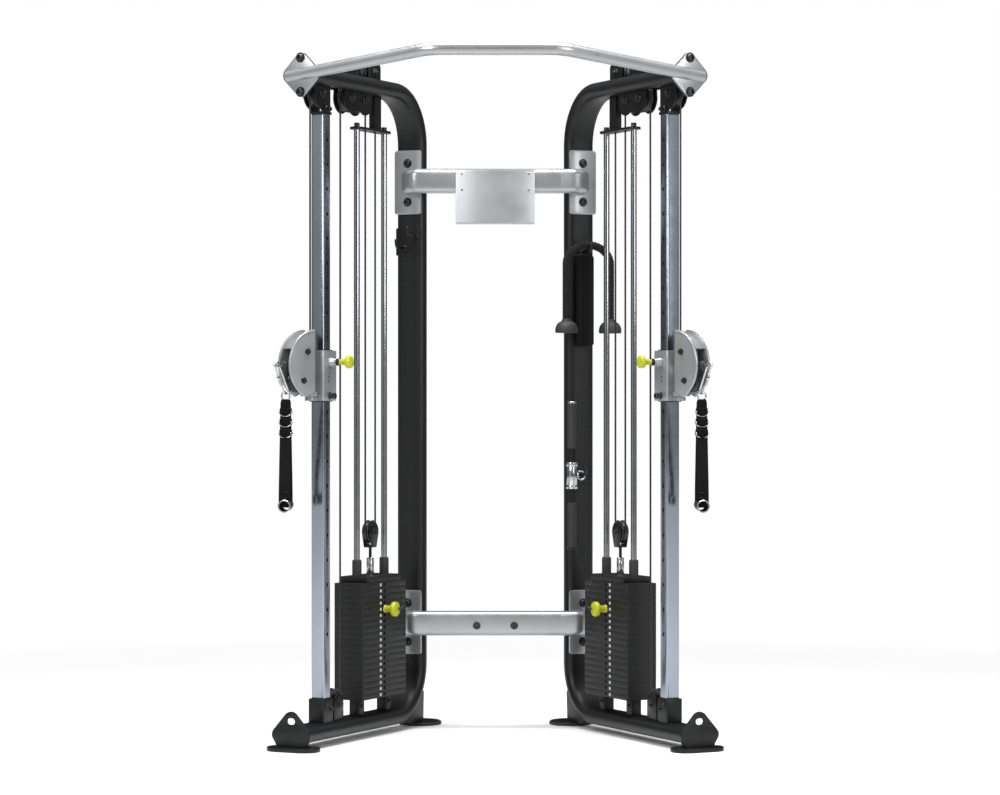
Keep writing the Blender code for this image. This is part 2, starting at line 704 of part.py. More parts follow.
def selector_rod(tower):
    """The stem through the stack, its threaded top and the floating pulley's bracket."""
    top = STACK_LOW_Z + PLATE_PITCH * PLATE_COUNT
    low = STACK_LOW_Z + 0.004
    t, z, _ = FLOATING_PULLEY
    high = top + 0.055
    stem = cylinder(f"{tower.name}_selector_rod", STEM_RADIUS, high - low, (t, 0, (high + low) / 2), sides=16,
                    parent=tower.frame)
    neck = cylinder("neck", 0.005, 0.050, (t, 0, top + 0.075), sides=SMALL_SIDES, parent=tower.frame)
    yoke = box("yoke", (0.044, 0.046, 0.008), (t, 0, z - 0.0475), parent=tower.frame)
    outline = arc((t, 0), 0.034, 8, 172, 6) + [(t - 0.020, -0.0490), (t + 0.020, -0.0490)]
    cheeks = pulley_cheeks(tower, outline, z)
    stem = weld_on(stem, neck, yoke, *cheeks)
    axle = cylinder("bore", bore_radius(AXLE_RADIUS, SMALL_SIDES), 0.080, (t, 0, z), (0, 1, 0),
                    SMALL_SIDES, parent=tower.frame)
    pin_hole = cylinder("bore", bore_radius(PIN_BORE_RADIUS, SMALL_SIDES), 0.080, (t, 0, pin_height()),
                        (0, 1, 0), SMALL_SIDES, parent=tower.frame)
    return finish_piece(cut_out(stem, axle, pin_hole), STEEL)


def weight_pin(tower):
    face = STACK_WIDE / 2
    profile = [(0.0, face + 0.046), (0.012, face + 0.045), (0.0235, face + 0.036), (0.0235, face + 0.026),
               (0.0110, face + 0.020), (0.0110, face + 0.006), (0.0130, face + 0.001),
               (PIN_RADIUS, face + 0.0009), (PIN_RADIUS, -0.018), (0.0, -0.020)]
    place = Matrix.Translation(side_place(tower, STEM_T, 0, pin_height())) @ facing_side(tower)
    pin = turned(f"{tower.name}_weight_pin", profile, place, parent=tower.frame)
    move_origin(pin, side_place(tower, STEM_T, face, pin_height()))
    return finish_piece(pin, KNOB_YELLOW)


def pin_lanyard(tower):
    """The curly cord that keeps the pin with the stack, as one fat tube."""
    points = lanyard_points()
    cord = wire(f"{tower.name}_pin_lanyard", [side_place(tower, *point) for point in points], 0.005,
                parent=tower.frame)
    return finish_piece(cord, CORD_BLACK)


def lanyard_points():
    """Hangs from the crown's edge and swings up to the end of the pin's knob."""
    top = STACK_LOW_Z + PLATE_PITCH * PLATE_COUNT
    start = Vector((0.582, 0.0590, top - 0.012))
    stop = Vector((STEM_T, STACK_WIDE / 2 + 0.0515, pin_height()))
    points = []
    steps = 16
    for step in range(steps + 1):
        part = step / steps
        point = start.lerp(stop, part)
        point.z -= 0.030 * math.sin(math.pi * part)
        point.y += 0.012 * math.sin(math.pi * part)
        point.x += 0.007 * math.sin(math.pi * part)
        points.append(tuple(point))
    return points


# ---------------------------------------------------------------- swivel, cable end and handle

def arm_frame(tower):
    """An empty on the swivel axis whose +X points along the arm."""
    empty = bpy.data.objects.new(f"{tower.name}_swivel_axis", None)
    PARTS.objects.link(empty)
    empty.location = tower.frame.matrix_world @ Vector((SWIVEL_T, 0, 0))
    empty.rotation_euler.z = ARM_ANGLE[tower.name]
    return empty


def housing_cheek(arm, offset):
    outline = arc((HOUSING_EDGE_P, 0), HOUSING_RADIUS, -68, 90, 11) + [(HOUSING_EDGE_P, -0.082)]
    cheek = flat_shape("cheek", [outline], HOUSING_CHEEK_THICK, parent=arm)
    return turn_mesh(cheek, Matrix.Translation((0, offset, HOUSING_Z)) @ UPRIGHT_PLANE)


def housing_web(arm, start, stop):
    """A stretch of the curved wall between the two cheeks."""
    outline = ring_sector(HOUSING_RADIUS - 0.003, HOUSING_RADIUS - 0.010, start, stop)
    web = flat_shape("web", [outline], 2 * HOUSING_HALF - 0.004, parent=arm)
    return turn_mesh(web, Matrix.Translation((HOUSING_EDGE_P, 0, HOUSING_Z)) @ UPRIGHT_PLANE)


def swivel_housing(tower, arm):
    offset = HOUSING_HALF - HOUSING_CHEEK_THICK / 2
    housing = housing_cheek(arm, offset)
    housing.name = f"{tower.name}_swivel_housing"
    lug_top = SLEEVE_LOW_Z + LUG_THICK
    block = box("block", (0.029, 2 * HOUSING_HALF - 0.005, 0.0146), (0.0055, 0, lug_top + 0.0090), parent=arm)
    pin = cylinder("pin", PIVOT_RADIUS, LUG_THICK + 0.004, (0, 0, lug_top - 0.0035), parent=arm)
    housing = weld_on(housing, housing_cheek(arm, -offset), housing_web(arm, 28, 78))
    housing = weld_on(housing, block, pin)
    bores = []
    for p, z, _ in (UPPER_SHEAVE, LOWER_SHEAVE):
        bores.append(cylinder("bore", bore_radius(AXLE_RADIUS, SMALL_SIDES), 0.080, (p, 0, z), (0, 1, 0),
                              SMALL_SIDES, parent=arm))
    return finish_piece(cut_out(housing, *bores), GREY_METAL)


def ring_sector(outer, inner, start, stop):
    return arc((0, 0), outer, start, stop, 4) + arc((0, 0), inner, stop, start, 4)


def swivel_pulleys(tower, arm):
    for name, place in (("swivel_pulley_upper", UPPER_SHEAVE), ("swivel_pulley_lower", LOWER_SHEAVE)):
        pulley(f"{tower.name}_{name}", arm, place, HOUSING_HALF - 0.0005)


def cable_end(tower, arm):
    """The ball stop and the fork whose pin carries the snap hook."""
    height = EXIT_Z - 0.003
    end = ball(f"{tower.name}_cable_end", BALL_RADIUS, (BALL_P, 0, height), parent=arm)
    base = box("base", (0.0060, 0.0130, 0.0090), (BALL_P + BALL_RADIUS - 0.0020, 0, height), parent=arm)
    end = weld_on(end, base)
    for offset in (-0.0054, 0.0054):
        end = weld_on(end, box("fork", (0.0240, 0.0020, 0.0080), (0.1310, offset, height), parent=arm))
    pin = cylinder("pin", 0.0028, 0.0136, (HOOK_TOP_P, 0, height), (0, 1, 0), SMALL_SIDES, parent=arm)
    bore = cylinder("bore", 0.0038, 0.012, (BALL_P - BALL_RADIUS, 0, height), (1, 0, 0), SMALL_SIDES,
                    parent=arm)
    return finish_piece(cut_out(weld_on(end, pin), bore), CORD_BLACK)


def carabiner(tower, arm):
    """A spring snap hook with a long oval loop that leans from the cable end to the handle."""
    top = Vector((HOOK_TOP_P, 0, EXIT_Z - 0.003))
    low = Vector((HANDLE_P, 0, HANDLE_TOP_Z))
    along = (low - top).normalized()
    across = Vector((along.z, 0, -along.x))
    middle = (top + low) / 2
    long = (low - top).length + 2 * HOOK_HALF
    points = [tuple(middle + along * x + across * y) for x, y in stadium(long, 2 * HOOK_HALF, 5)]
    hook = wire(f"{tower.name}_carabiner", points, HOOK_WIRE, 1, True, parent=arm)
    move_origin(hook, tuple(top))
    return finish_piece(hook, STEEL)


def strap_handle(tower, arm):
    """Webbing loop with a round grip across its foot, hung from the hook by a ring."""
    ring_z = HANDLE_TOP_Z - HOOK_HALF + HOOK_WIRE + RING_WIRE + 0.0010 - RING_RADIUS
    top = ring_z - RING_RADIUS + 0.004
    slope = 0.085
    outer = [(0.010, top), (0.016, top - 0.040), (0.0585, GRIP_Z + 0.060), (0.0585, GRIP_Z - 0.004)]
    inner = [(0.0535, GRIP_Z - 0.004), (0.0535, GRIP_Z + 0.060), (0.0, top - slope)]
    outline = outer + inner + [(-y, z) for y, z in reversed(outer + inner[:2])]
    handle = flat_shape(f"{tower.name}_strap_handle", [outline], 0.030, parent=arm)
    turn_mesh(handle, ACROSS_PLANE)
    grip = cylinder("grip", 0.0165, 0.130, (0, 0, GRIP_Z), (0, 1, 0), parent=arm)
    handle = weld_on(handle, grip)
    for offset in (-0.065, 0.065):
        cap = cylinder("cap", 0.0195, 0.006, (0, offset, GRIP_Z), (0, 1, 0), 16, parent=arm)
        handle = weld_on(handle, cap)
    ring_turn = -(math.radians(90) + ARM_ANGLE[tower.name]) / 2
    ring_points = [(x * math.cos(ring_turn), -x * math.sin(ring_turn), ring_z + z)
                   for x, z in arc((0, 0), RING_RADIUS, 10, 346, 14)]
    handle = weld_on(handle, wire("ring", ring_points, RING_WIRE, 1, True, parent=arm))
    turn_mesh(handle, Matrix.Translation((HANDLE_P, 0, 0)) @ Matrix.Rotation(-ARM_ANGLE[tower.name], 4, "Z"))
    move_origin(handle, (HANDLE_P, 0, HANDLE_TOP_Z))
    return finish_piece(handle, WEBBING_BLACK)


# ---------------------------------------------------------------- cable

def cable_route(tower, arm):
    """The cable's centre line from the ball stop to the carriage, through every pulley."""
    to_tower = tower.frame.matrix_world.inverted() @ arm.matrix_world
    start = [(BALL_P - BALL_RADIUS - 0.0005, EXIT_Z - 0.003), (0.060, EXIT_Z + 0.0025)]
    p, z, radius = UPPER_SHEAVE
    start += arc((p, z), radius + CABLE_RADIUS - 0.003, -80, -180, 5)
    points = [tuple(to_tower @ Vector((x, 0, height))) for x, height in start]
    points += in_plane(arc(FRONT_PULLEY[:2], FRONT_PULLEY[2], 180, 107, 5))
    points += in_plane(arc(UPPER_PULLEY[:2], UPPER_PULLEY[2], 107, 0, 6))
    points += in_plane(arc(FLOATING_PULLEY[:2], FLOATING_PULLEY[2], 0, -180, 8))
    points += in_plane(arc(GUIDE_PULLEY_B[:2], GUIDE_PULLEY_B[2], 0, 90, 4))
    points += in_plane(arc(GUIDE_PULLEY_A[:2], GUIDE_PULLEY_A[2], 90, 180, 4))
    points += in_plane(arc(BOTTOM_PULLEY[:2], BOTTOM_PULLEY[2], 0, -180, 8))
    points.append((BOTTOM_PULLEY[0] - BOTTOM_PULLEY[2], 0, SLEEVE_LOW_Z - GAP))
    return points


def in_plane(points):
    return [(t, 0, z) for t, z in points]


def cable(tower, arm):
    line = wire(f"{tower.name}_cable", cable_route(tower, arm), CABLE_RADIUS, 1, parent=tower.frame)
    return finish_piece(line, CORD_BLACK)


# ---------------------------------------------------------------- pieces shared by both towers

def bent_bar(points, bend_radius, steps):
    """A path through points with each inner corner rounded."""
    path = [Vector(points[0])]
    for before, here, after in zip(points, points[1:], points[2:]):
        here = Vector(here)
        back = (Vector(before) - here).normalized()
        ahead = (Vector(after) - here).normalized()
        reach = bend_radius / math.tan(back.angle(ahead) / 2)
        first = here + back * reach
        last = here + ahead * reach
        for step in range(steps + 1):
            part = step / steps
            path.append(first.lerp(here, part).lerp(here.lerp(last, part), part))
    path.append(Vector(points[-1]))
    return [tuple(point) for point in path]


def pull_up_bar(towers):
    """The bent bar, cut square to each tower's front and welded to its diamond plate."""
    bends = [Vector((-BAR_HALF_STRAIGHT, BAR_Y, BAR_Z)), Vector((BAR_HALF_STRAIGHT, BAR_Y, BAR_Z))]
    ends = []
    for tower, bend in zip(towers, bends):
        end = tower.frame.matrix_world @ Vector((TOP_RUN_START - 0.010, 0, RUN_TOP_Z))
        ends.append(end + (end - bend).normalized() * 0.050)
    bar = wire("pull_up_bar", bent_bar([ends[0], *bends, ends[1]], 0.12, 5), BAR_RADIUS, 3)
    plate_t = TOP_RUN_START - 0.003 - DIAMOND_THICK - GAP
    for tower in towers:
        behind = box("behind", (0.400, 0.900, 0.400), (plate_t - 0.0012 + 0.200, 0, RUN_TOP_Z),
                     parent=tower.frame)
        bar = cut_out(bar, behind)
    for tower in towers:
        bar = weld_on(bar, diamond_plate(tower, plate_t))
    return finish_piece(bar, SILVER)


def cross_member(name, towers, height, bend_y):
    """A flat-oval tube with its ends turned square to the uprights, and a plate on each end."""
    ends = []
    for tower in towers:
        face = UPRIGHT_T - TUBE_THICK / 2 - CROSS_PLATE_THICK
        out = tower.frame.matrix_world @ Vector((face - 0.002, 0, height))
        turn = tower.frame.matrix_world @ Vector((face - 0.055, tower.sign * 0.040, height))
        ends.append((out, turn))
    left, right = ends
    middle_left = Vector((left[1].x + 0.060, bend_y, height))
    middle_right = Vector((right[1].x - 0.060, bend_y, height))
    path = [left[0], left[1], middle_left, middle_right, right[1], right[0]]
    tube = oval_tube(name, bent_bar(path, 0.030, 3), CROSS_TUBE_HIGH, CROSS_TUBE_THICK, True)
    for tower in towers:
        behind = box("behind", (0.200, 0.300, 0.300),
                     (UPRIGHT_T - TUBE_THICK / 2 - 0.0045 + 0.100, 0, height), parent=tower.frame)
        tube = cut_out(tube, behind)
    for tower in towers:
        plate = box("plate", (CROSS_PLATE_THICK, CROSS_PLATE_WIDE, CROSS_PLATE_HIGH),
                    (UPRIGHT_T - TUBE_THICK / 2 - GAP - CROSS_PLATE_THICK / 2, 0, height), parent=tower.frame)
        tube = weld_on(tube, plate)
    return finish_piece(tube, SILVER)


def cross_middle_y(towers):
    face = UPRIGHT_T - TUBE_THICK / 2 - 0.055
    point = towers[0].frame.matrix_world @ Vector((face, towers[0].sign * 0.040, 0))
    return point.y


def placard(bar_y):
    """A plain sheet in front of the upper cross member, with a lip folded back along its foot."""
    front = bar_y - CROSS_TUBE_THICK / 2 - 0.003
    sheet = box("placard", (0.256, 0.002, 0.176), (0, front, UPPER_CROSS_Z - 0.052))
    lip = box("lip", (0.256, 0.022, 0.002), (0, front + 0.010, UPPER_CROSS_Z - 0.139))
    return finish_piece(weld_on(sheet, lip), SHEET_METAL)


# ---------------------------------------------------------------- accessories on the right upright

def accessory_hooks(tower, name, rows):
    """Round pegs with raised tips, on one backing strip on the upright's front."""
    face = UPRIGHT_T - TUBE_THICK / 2 - GAP
    low = min(z for _, z in rows) - 0.025
    high = max(z for _, z in rows) + 0.025
    wide = 2 * max(abs(n) for n, _ in rows) + 0.030
    strip = box(name, (0.004, wide, high - low), (face - 0.002, 0, (high + low) / 2), parent=tower.frame)
    for n, z in rows:
        root = Vector((face - 0.002, tower.sign * n, z))
        tip = root + Vector((-0.060, 0, 0))
        peg = wire("peg", bent_bar([root, tip, tip + Vector((-0.004, 0, 0.022))], 0.010, 3), PEG_RADIUS,
                   parent=tower.frame)
        strip = weld_on(strip, peg)
    return finish_piece(strip, BLACK)


def triceps_rope(tower, z_top):
    """A braided rope hung over its ring, with a rubber stop moulded on each end."""
    t = UPRIGHT_T - TUBE_THICK / 2 - 0.046
    reach = 0.080
    path = [(t, -reach, z_top - 0.250), (t, -reach, z_top - 0.075), (t, -0.052, z_top - 0.016),
            (t, 0, z_top), (t, 0.052, z_top - 0.016), (t, reach, z_top - 0.075), (t, reach, z_top - 0.250)]
    rope = wire("triceps_rope", bent_bar(path, 0.030, 3), ROPE_RADIUS, 2, parent=tower.frame)
    for y in (-reach, reach):
        profile = [(0.0, 0.040), (0.014, 0.040), (0.026, 0.034), (0.035, 0.020), (0.037, 0.0), (0.0, 0.0)]
        stop = turned("stop", profile, Matrix.Translation((t, y, z_top - 0.286)), parent=tower.frame)
        rope = weld_on(rope, stop)
    return finish_piece(rope, ROPE_BLACK)


def ankle_strap(tower, z_top):
    strap = box("ankle_strap", (0.010, 0.064, 0.300), (UPRIGHT_T - TUBE_THICK / 2 - 0.0215, 0, z_top - 0.150),
                parent=tower.frame)
    return finish_piece(strap, WEBBING_BLACK)


def straight_bar(tower):
    """A short revolving bar stored upright, hung on a peg by the eye of its middle swivel."""
    t = UPRIGHT_T - TUBE_THICK / 2 - 0.030
    profile = [(0.0, 0.240), (0.0150, 0.240), (0.0150, 0.090), (0.0125, 0.088), (0.0125, 0.045),
               (0.0190, 0.043), (0.0190, -0.043), (0.0125, -0.045), (0.0125, -0.088), (0.0150, -0.090),
               (0.0150, -0.240), (0.0, -0.240)]
    place = Matrix.Translation(side_place(tower, t, STRAIGHT_BAR_N, STRAIGHT_BAR_Z))
    bar = turned("straight_bar", profile, place, parent=tower.frame)
    circle = arc((0, 0), EYE_RADIUS, 10, 346, 14)
    ring = [side_place(tower, t, EYE_N + y, STRAIGHT_BAR_Z + z) for y, z in circle]
    eye = wire("eye", ring, EYE_WIRE, 1, True, parent=tower.frame)
    return finish_piece(weld_on(bar, eye), STEEL)


def straight_bar_hook(tower):
    peg_z = STRAIGHT_BAR_Z + EYE_RADIUS - EYE_WIRE - PEG_RADIUS - GAP
    return accessory_hooks(tower, "straight_bar_hook", [(EYE_N, peg_z)])


# ---------------------------------------------------------------- assembly

def make_tower(name, sign):
    frame = bpy.data.objects.new(f"{name}_tower", None)
    PARTS.objects.link(frame)
    side = -1 if name == "left" else 1
    frame.location = (side * TOWER_X, TOWER_Y, 0)
    frame.rotation_euler.z = math.radians(90) + side * TOE_ANGLE
    bpy.context.view_layer.update()
    return Tower(name, sign, frame)


def build_tower(tower):
    side_frame(tower)
    column(tower)
    carriage(tower)
    pop_pin(tower)
    tower_pulleys(tower)
    guide_rods(tower)
    rod_retainer(tower)
    weight_stack(tower)
    selector_rod(tower)
    weight_pin(tower)
    pin_lanyard(tower)
    arm = arm_frame(tower)
    bpy.context.view_layer.update()
    swivel_housing(tower, arm)
    swivel_pulleys(tower, arm)
    cable_end(tower, arm)
    carabiner(tower, arm)
    strap_handle(tower, arm)
    cable(tower, arm)


clear_scene()
PARTS = make_collection(OBJECT_NAME)
GUIDES = make_collection("guides")
BLACK = make_material("textured_black_paint", (0.022, 0.023, 0.025), 0.45, 0.2)
PLATE_BLACK = make_material("weight_plate_grey", (0.030, 0.030, 0.032), 0.55, 0.3)
CHROME = make_material("chrome", (0.60, 0.62, 0.65), 0.12, 1.0)
STEEL = make_material("bright_steel", (0.62, 0.63, 0.64), 0.22, 1.0)
SILVER = make_material("silver_paint", (0.46, 0.46, 0.48), 0.35, 0.7)
GREY_METAL = make_material("grey_paint", (0.27, 0.27, 0.29), 0.42, 0.5)
SHEET_METAL = make_material("satin_sheet", (0.60, 0.60, 0.62), 0.35, 0.8)
PULLEY_BLACK = make_material("nylon_black", (0.015, 0.015, 0.016), 0.4, 0.0)
CORD_BLACK = make_material("coated_cable", (0.012, 0.012, 0.012), 0.4, 0.0)
KNOB_YELLOW = make_material("yellow_knob", (0.55, 0.62, 0.03), 0.3, 0.0)
WEBBING_BLACK = make_material("webbing", (0.012, 0.012, 0.013), 0.8, 0.0)
ROPE_BLACK = make_material("braided_rope", (0.014, 0.014, 0.015), 0.8, 0.0)

TOWERS = (make_tower("left", -1), make_tower("right", 1))
for each_tower in TOWERS:
    build_tower(each_tower)
MIDDLE_Y = cross_middle_y(TOWERS)
pull_up_bar(TOWERS)
cross_member("upper_cross_member", TOWERS, UPPER_CROSS_Z, MIDDLE_Y)
cross_member("lower_cross_member", TOWERS, LOWER_CROSS_Z, MIDDLE_Y)
placard(MIDDLE_Y)
accessory_hooks(TOWERS[1], "right_accessory_hooks", [(0.0, 1.547)])
accessory_hooks(TOWERS[0], "left_accessory_hooks", [(0.030, 1.600), (-0.012, 1.560)])
triceps_rope(TOWERS[1], 1.567)
ankle_strap(TOWERS[1], 1.538)
straight_bar(TOWERS[1])
straight_bar_hook(TOWERS[1])
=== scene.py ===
"""Looks of the cable crossover machine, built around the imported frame.

Metres, +Z up.  A tower's pieces are drawn in (t, n, z): t runs rearward along the tower, n towards the
user, and tower_matrix puts them in the world.  A swivel's pieces are drawn in (p, q, z): p runs out along
the arm and q across it.
"""
import json
import math

import bmesh
import bpy
from mathutils import Matrix, Vector


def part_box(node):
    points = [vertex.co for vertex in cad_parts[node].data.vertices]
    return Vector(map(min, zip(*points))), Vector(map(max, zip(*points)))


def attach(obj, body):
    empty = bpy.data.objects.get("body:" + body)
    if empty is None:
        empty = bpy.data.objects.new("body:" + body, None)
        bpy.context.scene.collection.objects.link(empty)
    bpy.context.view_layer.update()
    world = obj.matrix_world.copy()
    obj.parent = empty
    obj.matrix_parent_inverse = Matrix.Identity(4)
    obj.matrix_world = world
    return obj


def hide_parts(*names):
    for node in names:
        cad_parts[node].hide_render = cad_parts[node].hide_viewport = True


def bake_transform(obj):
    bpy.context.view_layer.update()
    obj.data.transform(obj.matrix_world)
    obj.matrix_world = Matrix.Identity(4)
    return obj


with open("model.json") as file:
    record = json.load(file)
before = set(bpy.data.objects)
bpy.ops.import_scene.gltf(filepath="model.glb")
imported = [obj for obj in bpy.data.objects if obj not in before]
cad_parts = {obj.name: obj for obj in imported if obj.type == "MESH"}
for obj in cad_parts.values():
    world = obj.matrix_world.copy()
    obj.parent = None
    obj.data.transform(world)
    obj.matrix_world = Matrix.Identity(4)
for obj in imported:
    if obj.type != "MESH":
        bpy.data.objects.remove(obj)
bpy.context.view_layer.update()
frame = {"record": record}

RECORD = frame["record"]
JOINTS = {joint["name"]: joint for joint in RECORD["behaviour"]["joints"]}
MOUNTS = {mount["name"]: mount for mount in RECORD["mounts"]}

# Frame tube and feet
TUBE_WIDE = 0.100
TUBE_THICK = 0.050
RUN_LOW_Z = 0.046
RUN_TOP_Z = 2.058
UPRIGHT_T = 0.790
BEND_RADIUS = 0.165
TOP_RUN_START = 0.070
BASE_THICK = 0.012
FRONT_FOOT_T = 0.012
REAR_FOOT_T = 0.845
REAR_FOOT_RADIUS = 0.070
DIAMOND_THICK = 0.008
UPRIGHT_FACE = UPRIGHT_T - TUBE_THICK / 2

# Column and carriage
COLUMN_T = 0.181
COLUMN_SIZE = 0.045
HOLE_PITCH = 0.0762
HOLE_COUNT = 21
HOLE_RADIUS = 0.0063
FIRST_HOLE_Z = 0.343
SLEEVE_FRONT_T = 0.1415
SLEEVE_REAR_T = 0.225
SLEEVE_HALF = 0.032
POP_PIN_Z = 1.1812
SWIVEL_T = 0.114

# Cable and pulleys
CABLE_RADIUS = 0.003
CHEEK_THICK = 0.004
CHEEK_OUTSIDE = 0.0205
PULLEY_HALF = 0.010

# Weight stack
STACK_T = 0.503
STACK_LONG = 0.290
STACK_WIDE = 0.104
STACK_LOW_Z = 0.122
PLATE_PITCH = 0.0193
PLATE_COUNT = 20
LIFTED_COUNT = 6
ROD_TS = (0.4126, 0.594)
ROD_RADIUS = 0.0095
RETAINER_Z = 1.922
STEM_T = 0.501
STEM_RADIUS = 0.011

# Swivel
HOUSING_Z = 1.173
HOUSING_RADIUS = 0.107
HOUSING_HALF = 0.026
HOUSING_EDGE_P = 0.002
EXIT_Z = 1.1735
BALL_P = 0.1055
HOOK_TOP_P = 0.138
HOOK_HALF = 0.0095
HANDLE_P = 0.101
HANDLE_TOP_Z = 1.093
GRIP_Z = 0.744

# Camera
CAMERA_BACK = 9.0
CAMERA_HEIGHT = 1.077
LENS = 106.92
FLOOR_FADE = (1.2, 4.0)

Z = Vector((0, 0, 1))


# ---------------------------------------------------------------- places

def pulley_place(side, name):
    """A pulley's centre, as t and z of its tower's frame."""
    low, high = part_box(f"{side}_{name}")
    middle = (Vector(low) + Vector(high)) / 2
    t, _, z = TOWER[side].inverted() @ middle
    return t, z


def tower_matrix(side):
    front = Vector(MOUNTS[f"{side}_front_foot_rest"]["pos_m"])
    rear = Vector(MOUNTS[f"{side}_rear_foot_rest"]["pos_m"])
    along = (rear - front).normalized()
    inner = Vector(JOINTS[f"{side}_weight_pin_pull"]["axis"])
    return columns(along, inner, Z, front - along * FRONT_FOOT_T)


def arm_matrix(side):
    along = Vector(JOINTS[f"{side}_handle_pull"]["axis"])
    near = Vector((along.y, -along.x, 0))
    if near.y > 0:
        near = -near
    pivot = Vector(JOINTS[f"{side}_swivel_turn"]["pos_m"])
    return columns(along, near, Z, Vector((pivot.x, pivot.y, 0)))


def columns(x, y, z, origin):
    matrix = Matrix((x, y, z)).transposed().to_4x4()
    matrix.translation = origin
    return matrix


SIDES = ("left", "right")
TOWER = {side: tower_matrix(side) for side in SIDES}
ARM = {side: arm_matrix(side) for side in SIDES}


# ---------------------------------------------------------------- mesh tools

def aim(centre, axis):
    """A matrix that takes +Z at the origin to axis at centre."""
    return Matrix.Translation(centre) @ Z.rotation_difference(Vector(axis)).to_matrix().to_4x4()


def lathe(profile, centre=(0, 0, 0), axis=(0, 0, 1), steps=40):
    """A turned shape: (radius, height) pairs from its low end to its high end."""
    shape = bmesh.new()
    rings = []
    for radius, height in profile:
        if radius == 0:
            rings.append([shape.verts.new((0, 0, height))] * steps)
            continue
        angles = [2 * math.pi * step / steps for step in range(steps)]
        rings.append([shape.verts.new((radius * math.cos(a), radius * math.sin(a), height)) for a in angles])
    skin(shape, rings, True)
    shape.transform(aim(centre, axis))
    return shape


def skin(shape, rings, around):
    """Faces between successive rings of vertices."""
    count = len(rings[0])
    for low, high in zip(rings, rings[1:]):
        for step in range(count if around else count - 1):
            after = (step + 1) % count
            corners = []
            for vert in (low[step], low[after], high[after], high[step]):
                if vert not in corners:
                    corners.append(vert)
            if len(corners) > 2:
                shape.faces.new(corners)


def rod(radius, length, centre=(0, 0, 0), axis=(0, 0, 1), bevel=0.0008, steps=40):
    """A cylinder with eased ends, from its middle."""
    half = length / 2
    profile = [(0, -half), (radius - bevel, -half), (radius, -half + bevel), (radius, half - bevel),
               (radius - bevel, half), (0, half)]
    return lathe(profile, centre, axis, steps)


def socket_bolt(radius, height, centre, axis, steps=30):
    """A button head with a hexagon socket."""
    shape = bmesh.new()
    rings = []
    rows = [(radius, 0, False), (radius, 0.25 * height, False), (0.86 * radius, 0.80 * height, False),
            (0.66 * radius, height, False), (0.46 * radius, height, True),
            (0.44 * radius, 0.35 * height, True)]
    for size, level, hexagonal in rows:
        ring = []
        for step in range(steps):
            angle = 2 * math.pi * step / steps
            reach = size
            if hexagonal:
                reach = size / math.cos((angle + math.pi / 6) % (math.pi / 3) - math.pi / 6)
            ring.append(shape.verts.new((reach * math.cos(angle), reach * math.sin(angle), level)))
        rings.append(ring)
    skin(shape, rings, True)
    shape.faces.new(rings[-1])
    shape.transform(aim(centre, axis))
    return shape


def hex_nut(radius, height, centre, axis):
    chamfer = 0.12 * radius
    profile = [(0, 0), (radius, 0), (radius, height - chamfer), (radius - chamfer, height), (0, height)]
    return lathe(profile, centre, axis, 6)


def block(size, centre=(0, 0, 0), bevel=0.002, segments=3):
    shape = bmesh.new()
    bmesh.ops.create_cube(shape, size=1.0, matrix=Matrix.Diagonal((*size, 1)))
    if bevel:
        bmesh.ops.bevel(shape, geom=shape.edges[:], offset=bevel, segments=segments, profile=0.5,
                        affect="EDGES", clamp_overlap=True)
    shape.transform(Matrix.Translation(centre))
    return shape


def arc(centre, radius, start, stop, steps):
    """Points on an arc in a plane, in degrees."""
    points = []
    for step in range(steps + 1):
        angle = math.radians(start + (stop - start) * step / steps)
        points.append((centre[0] + radius * math.cos(angle), centre[1] + radius * math.sin(angle)))
    return points


def circle(centre, radius, steps=28):
    return arc(centre, radius, 0, 360, steps)[:-1]


def stadium(long, wide, steps=12):
    reach = (long - wide) / 2
    return arc((reach, 0), wide / 2, -90, 90, steps) + arc((-reach, 0), wide / 2, 90, 270, steps)


def rounded(corners, steps=10):
    """An outline through convex corners (x, y, radius), each corner an arc."""
    points = []
    for index, (x, y, radius) in enumerate(corners):
        here = Vector((x, y))
        before = (Vector(corners[index - 1][:2]) - here).normalized()
        after = (Vector(corners[(index + 1) % len(corners)][:2]) - here).normalized()
        half = before.angle(after) / 2
        centre = here + (before + after).normalized() * radius / math.sin(half)
        first = here + before * radius / math.tan(half) - centre
        last = here + after * radius / math.tan(half) - centre
        sweep_angle = -first.angle_signed(last)
        for step in range(steps + 1):
            points.append(tuple(centre + Matrix.Rotation(sweep_angle * step / steps, 2) @ first))
    return points


def rectangle(long, high, radius, steps=8):
    x = long / 2
    y = high / 2
    return rounded([(-x, -y, radius), (x, -y, radius), (x, y, radius), (-x, y, radius)], steps)


# planes for flat shapes: drawn in (t, z), in (n, z) or in (t, n)
IN_TOWER = Matrix.Rotation(math.radians(90), 4, "X")
ACROSS_TOWER = Matrix.Rotation(math.radians(90), 4, "Z") @ Matrix.Rotation(math.radians(90), 4, "X")
LEVEL = Matrix.Identity(4)


def sheet(outlines, thick, plane=LEVEL, offset=(0, 0, 0), bevel=0.0008):
    """A flat plate from an outline and its holes, with eased edges."""
    curve = bpy.data.curves.new("outline", "CURVE")
    curve.dimensions = "2D"
    curve.fill_mode = "BOTH"
    curve.extrude = thick / 2 - bevel
    curve.bevel_depth = bevel
    curve.bevel_resolution = 1
    curve.offset = -bevel
    for outline in outlines:
        spline = curve.splines.new("POLY")
        spline.points.add(len(outline) - 1)
        spline.use_cyclic_u = True
        for point, (x, y) in zip(spline.points, outline):
            point.co = (x, y, 0, 1)
    item = bpy.data.objects.new("outline", curve)
    bpy.context.scene.collection.objects.link(item)
    shape = evaluated_shape(item)
    bpy.data.objects.remove(item, do_unlink=True)
    bpy.data.curves.remove(curve)
    shape.transform(Matrix.Translation(offset) @ plane)
    return shape


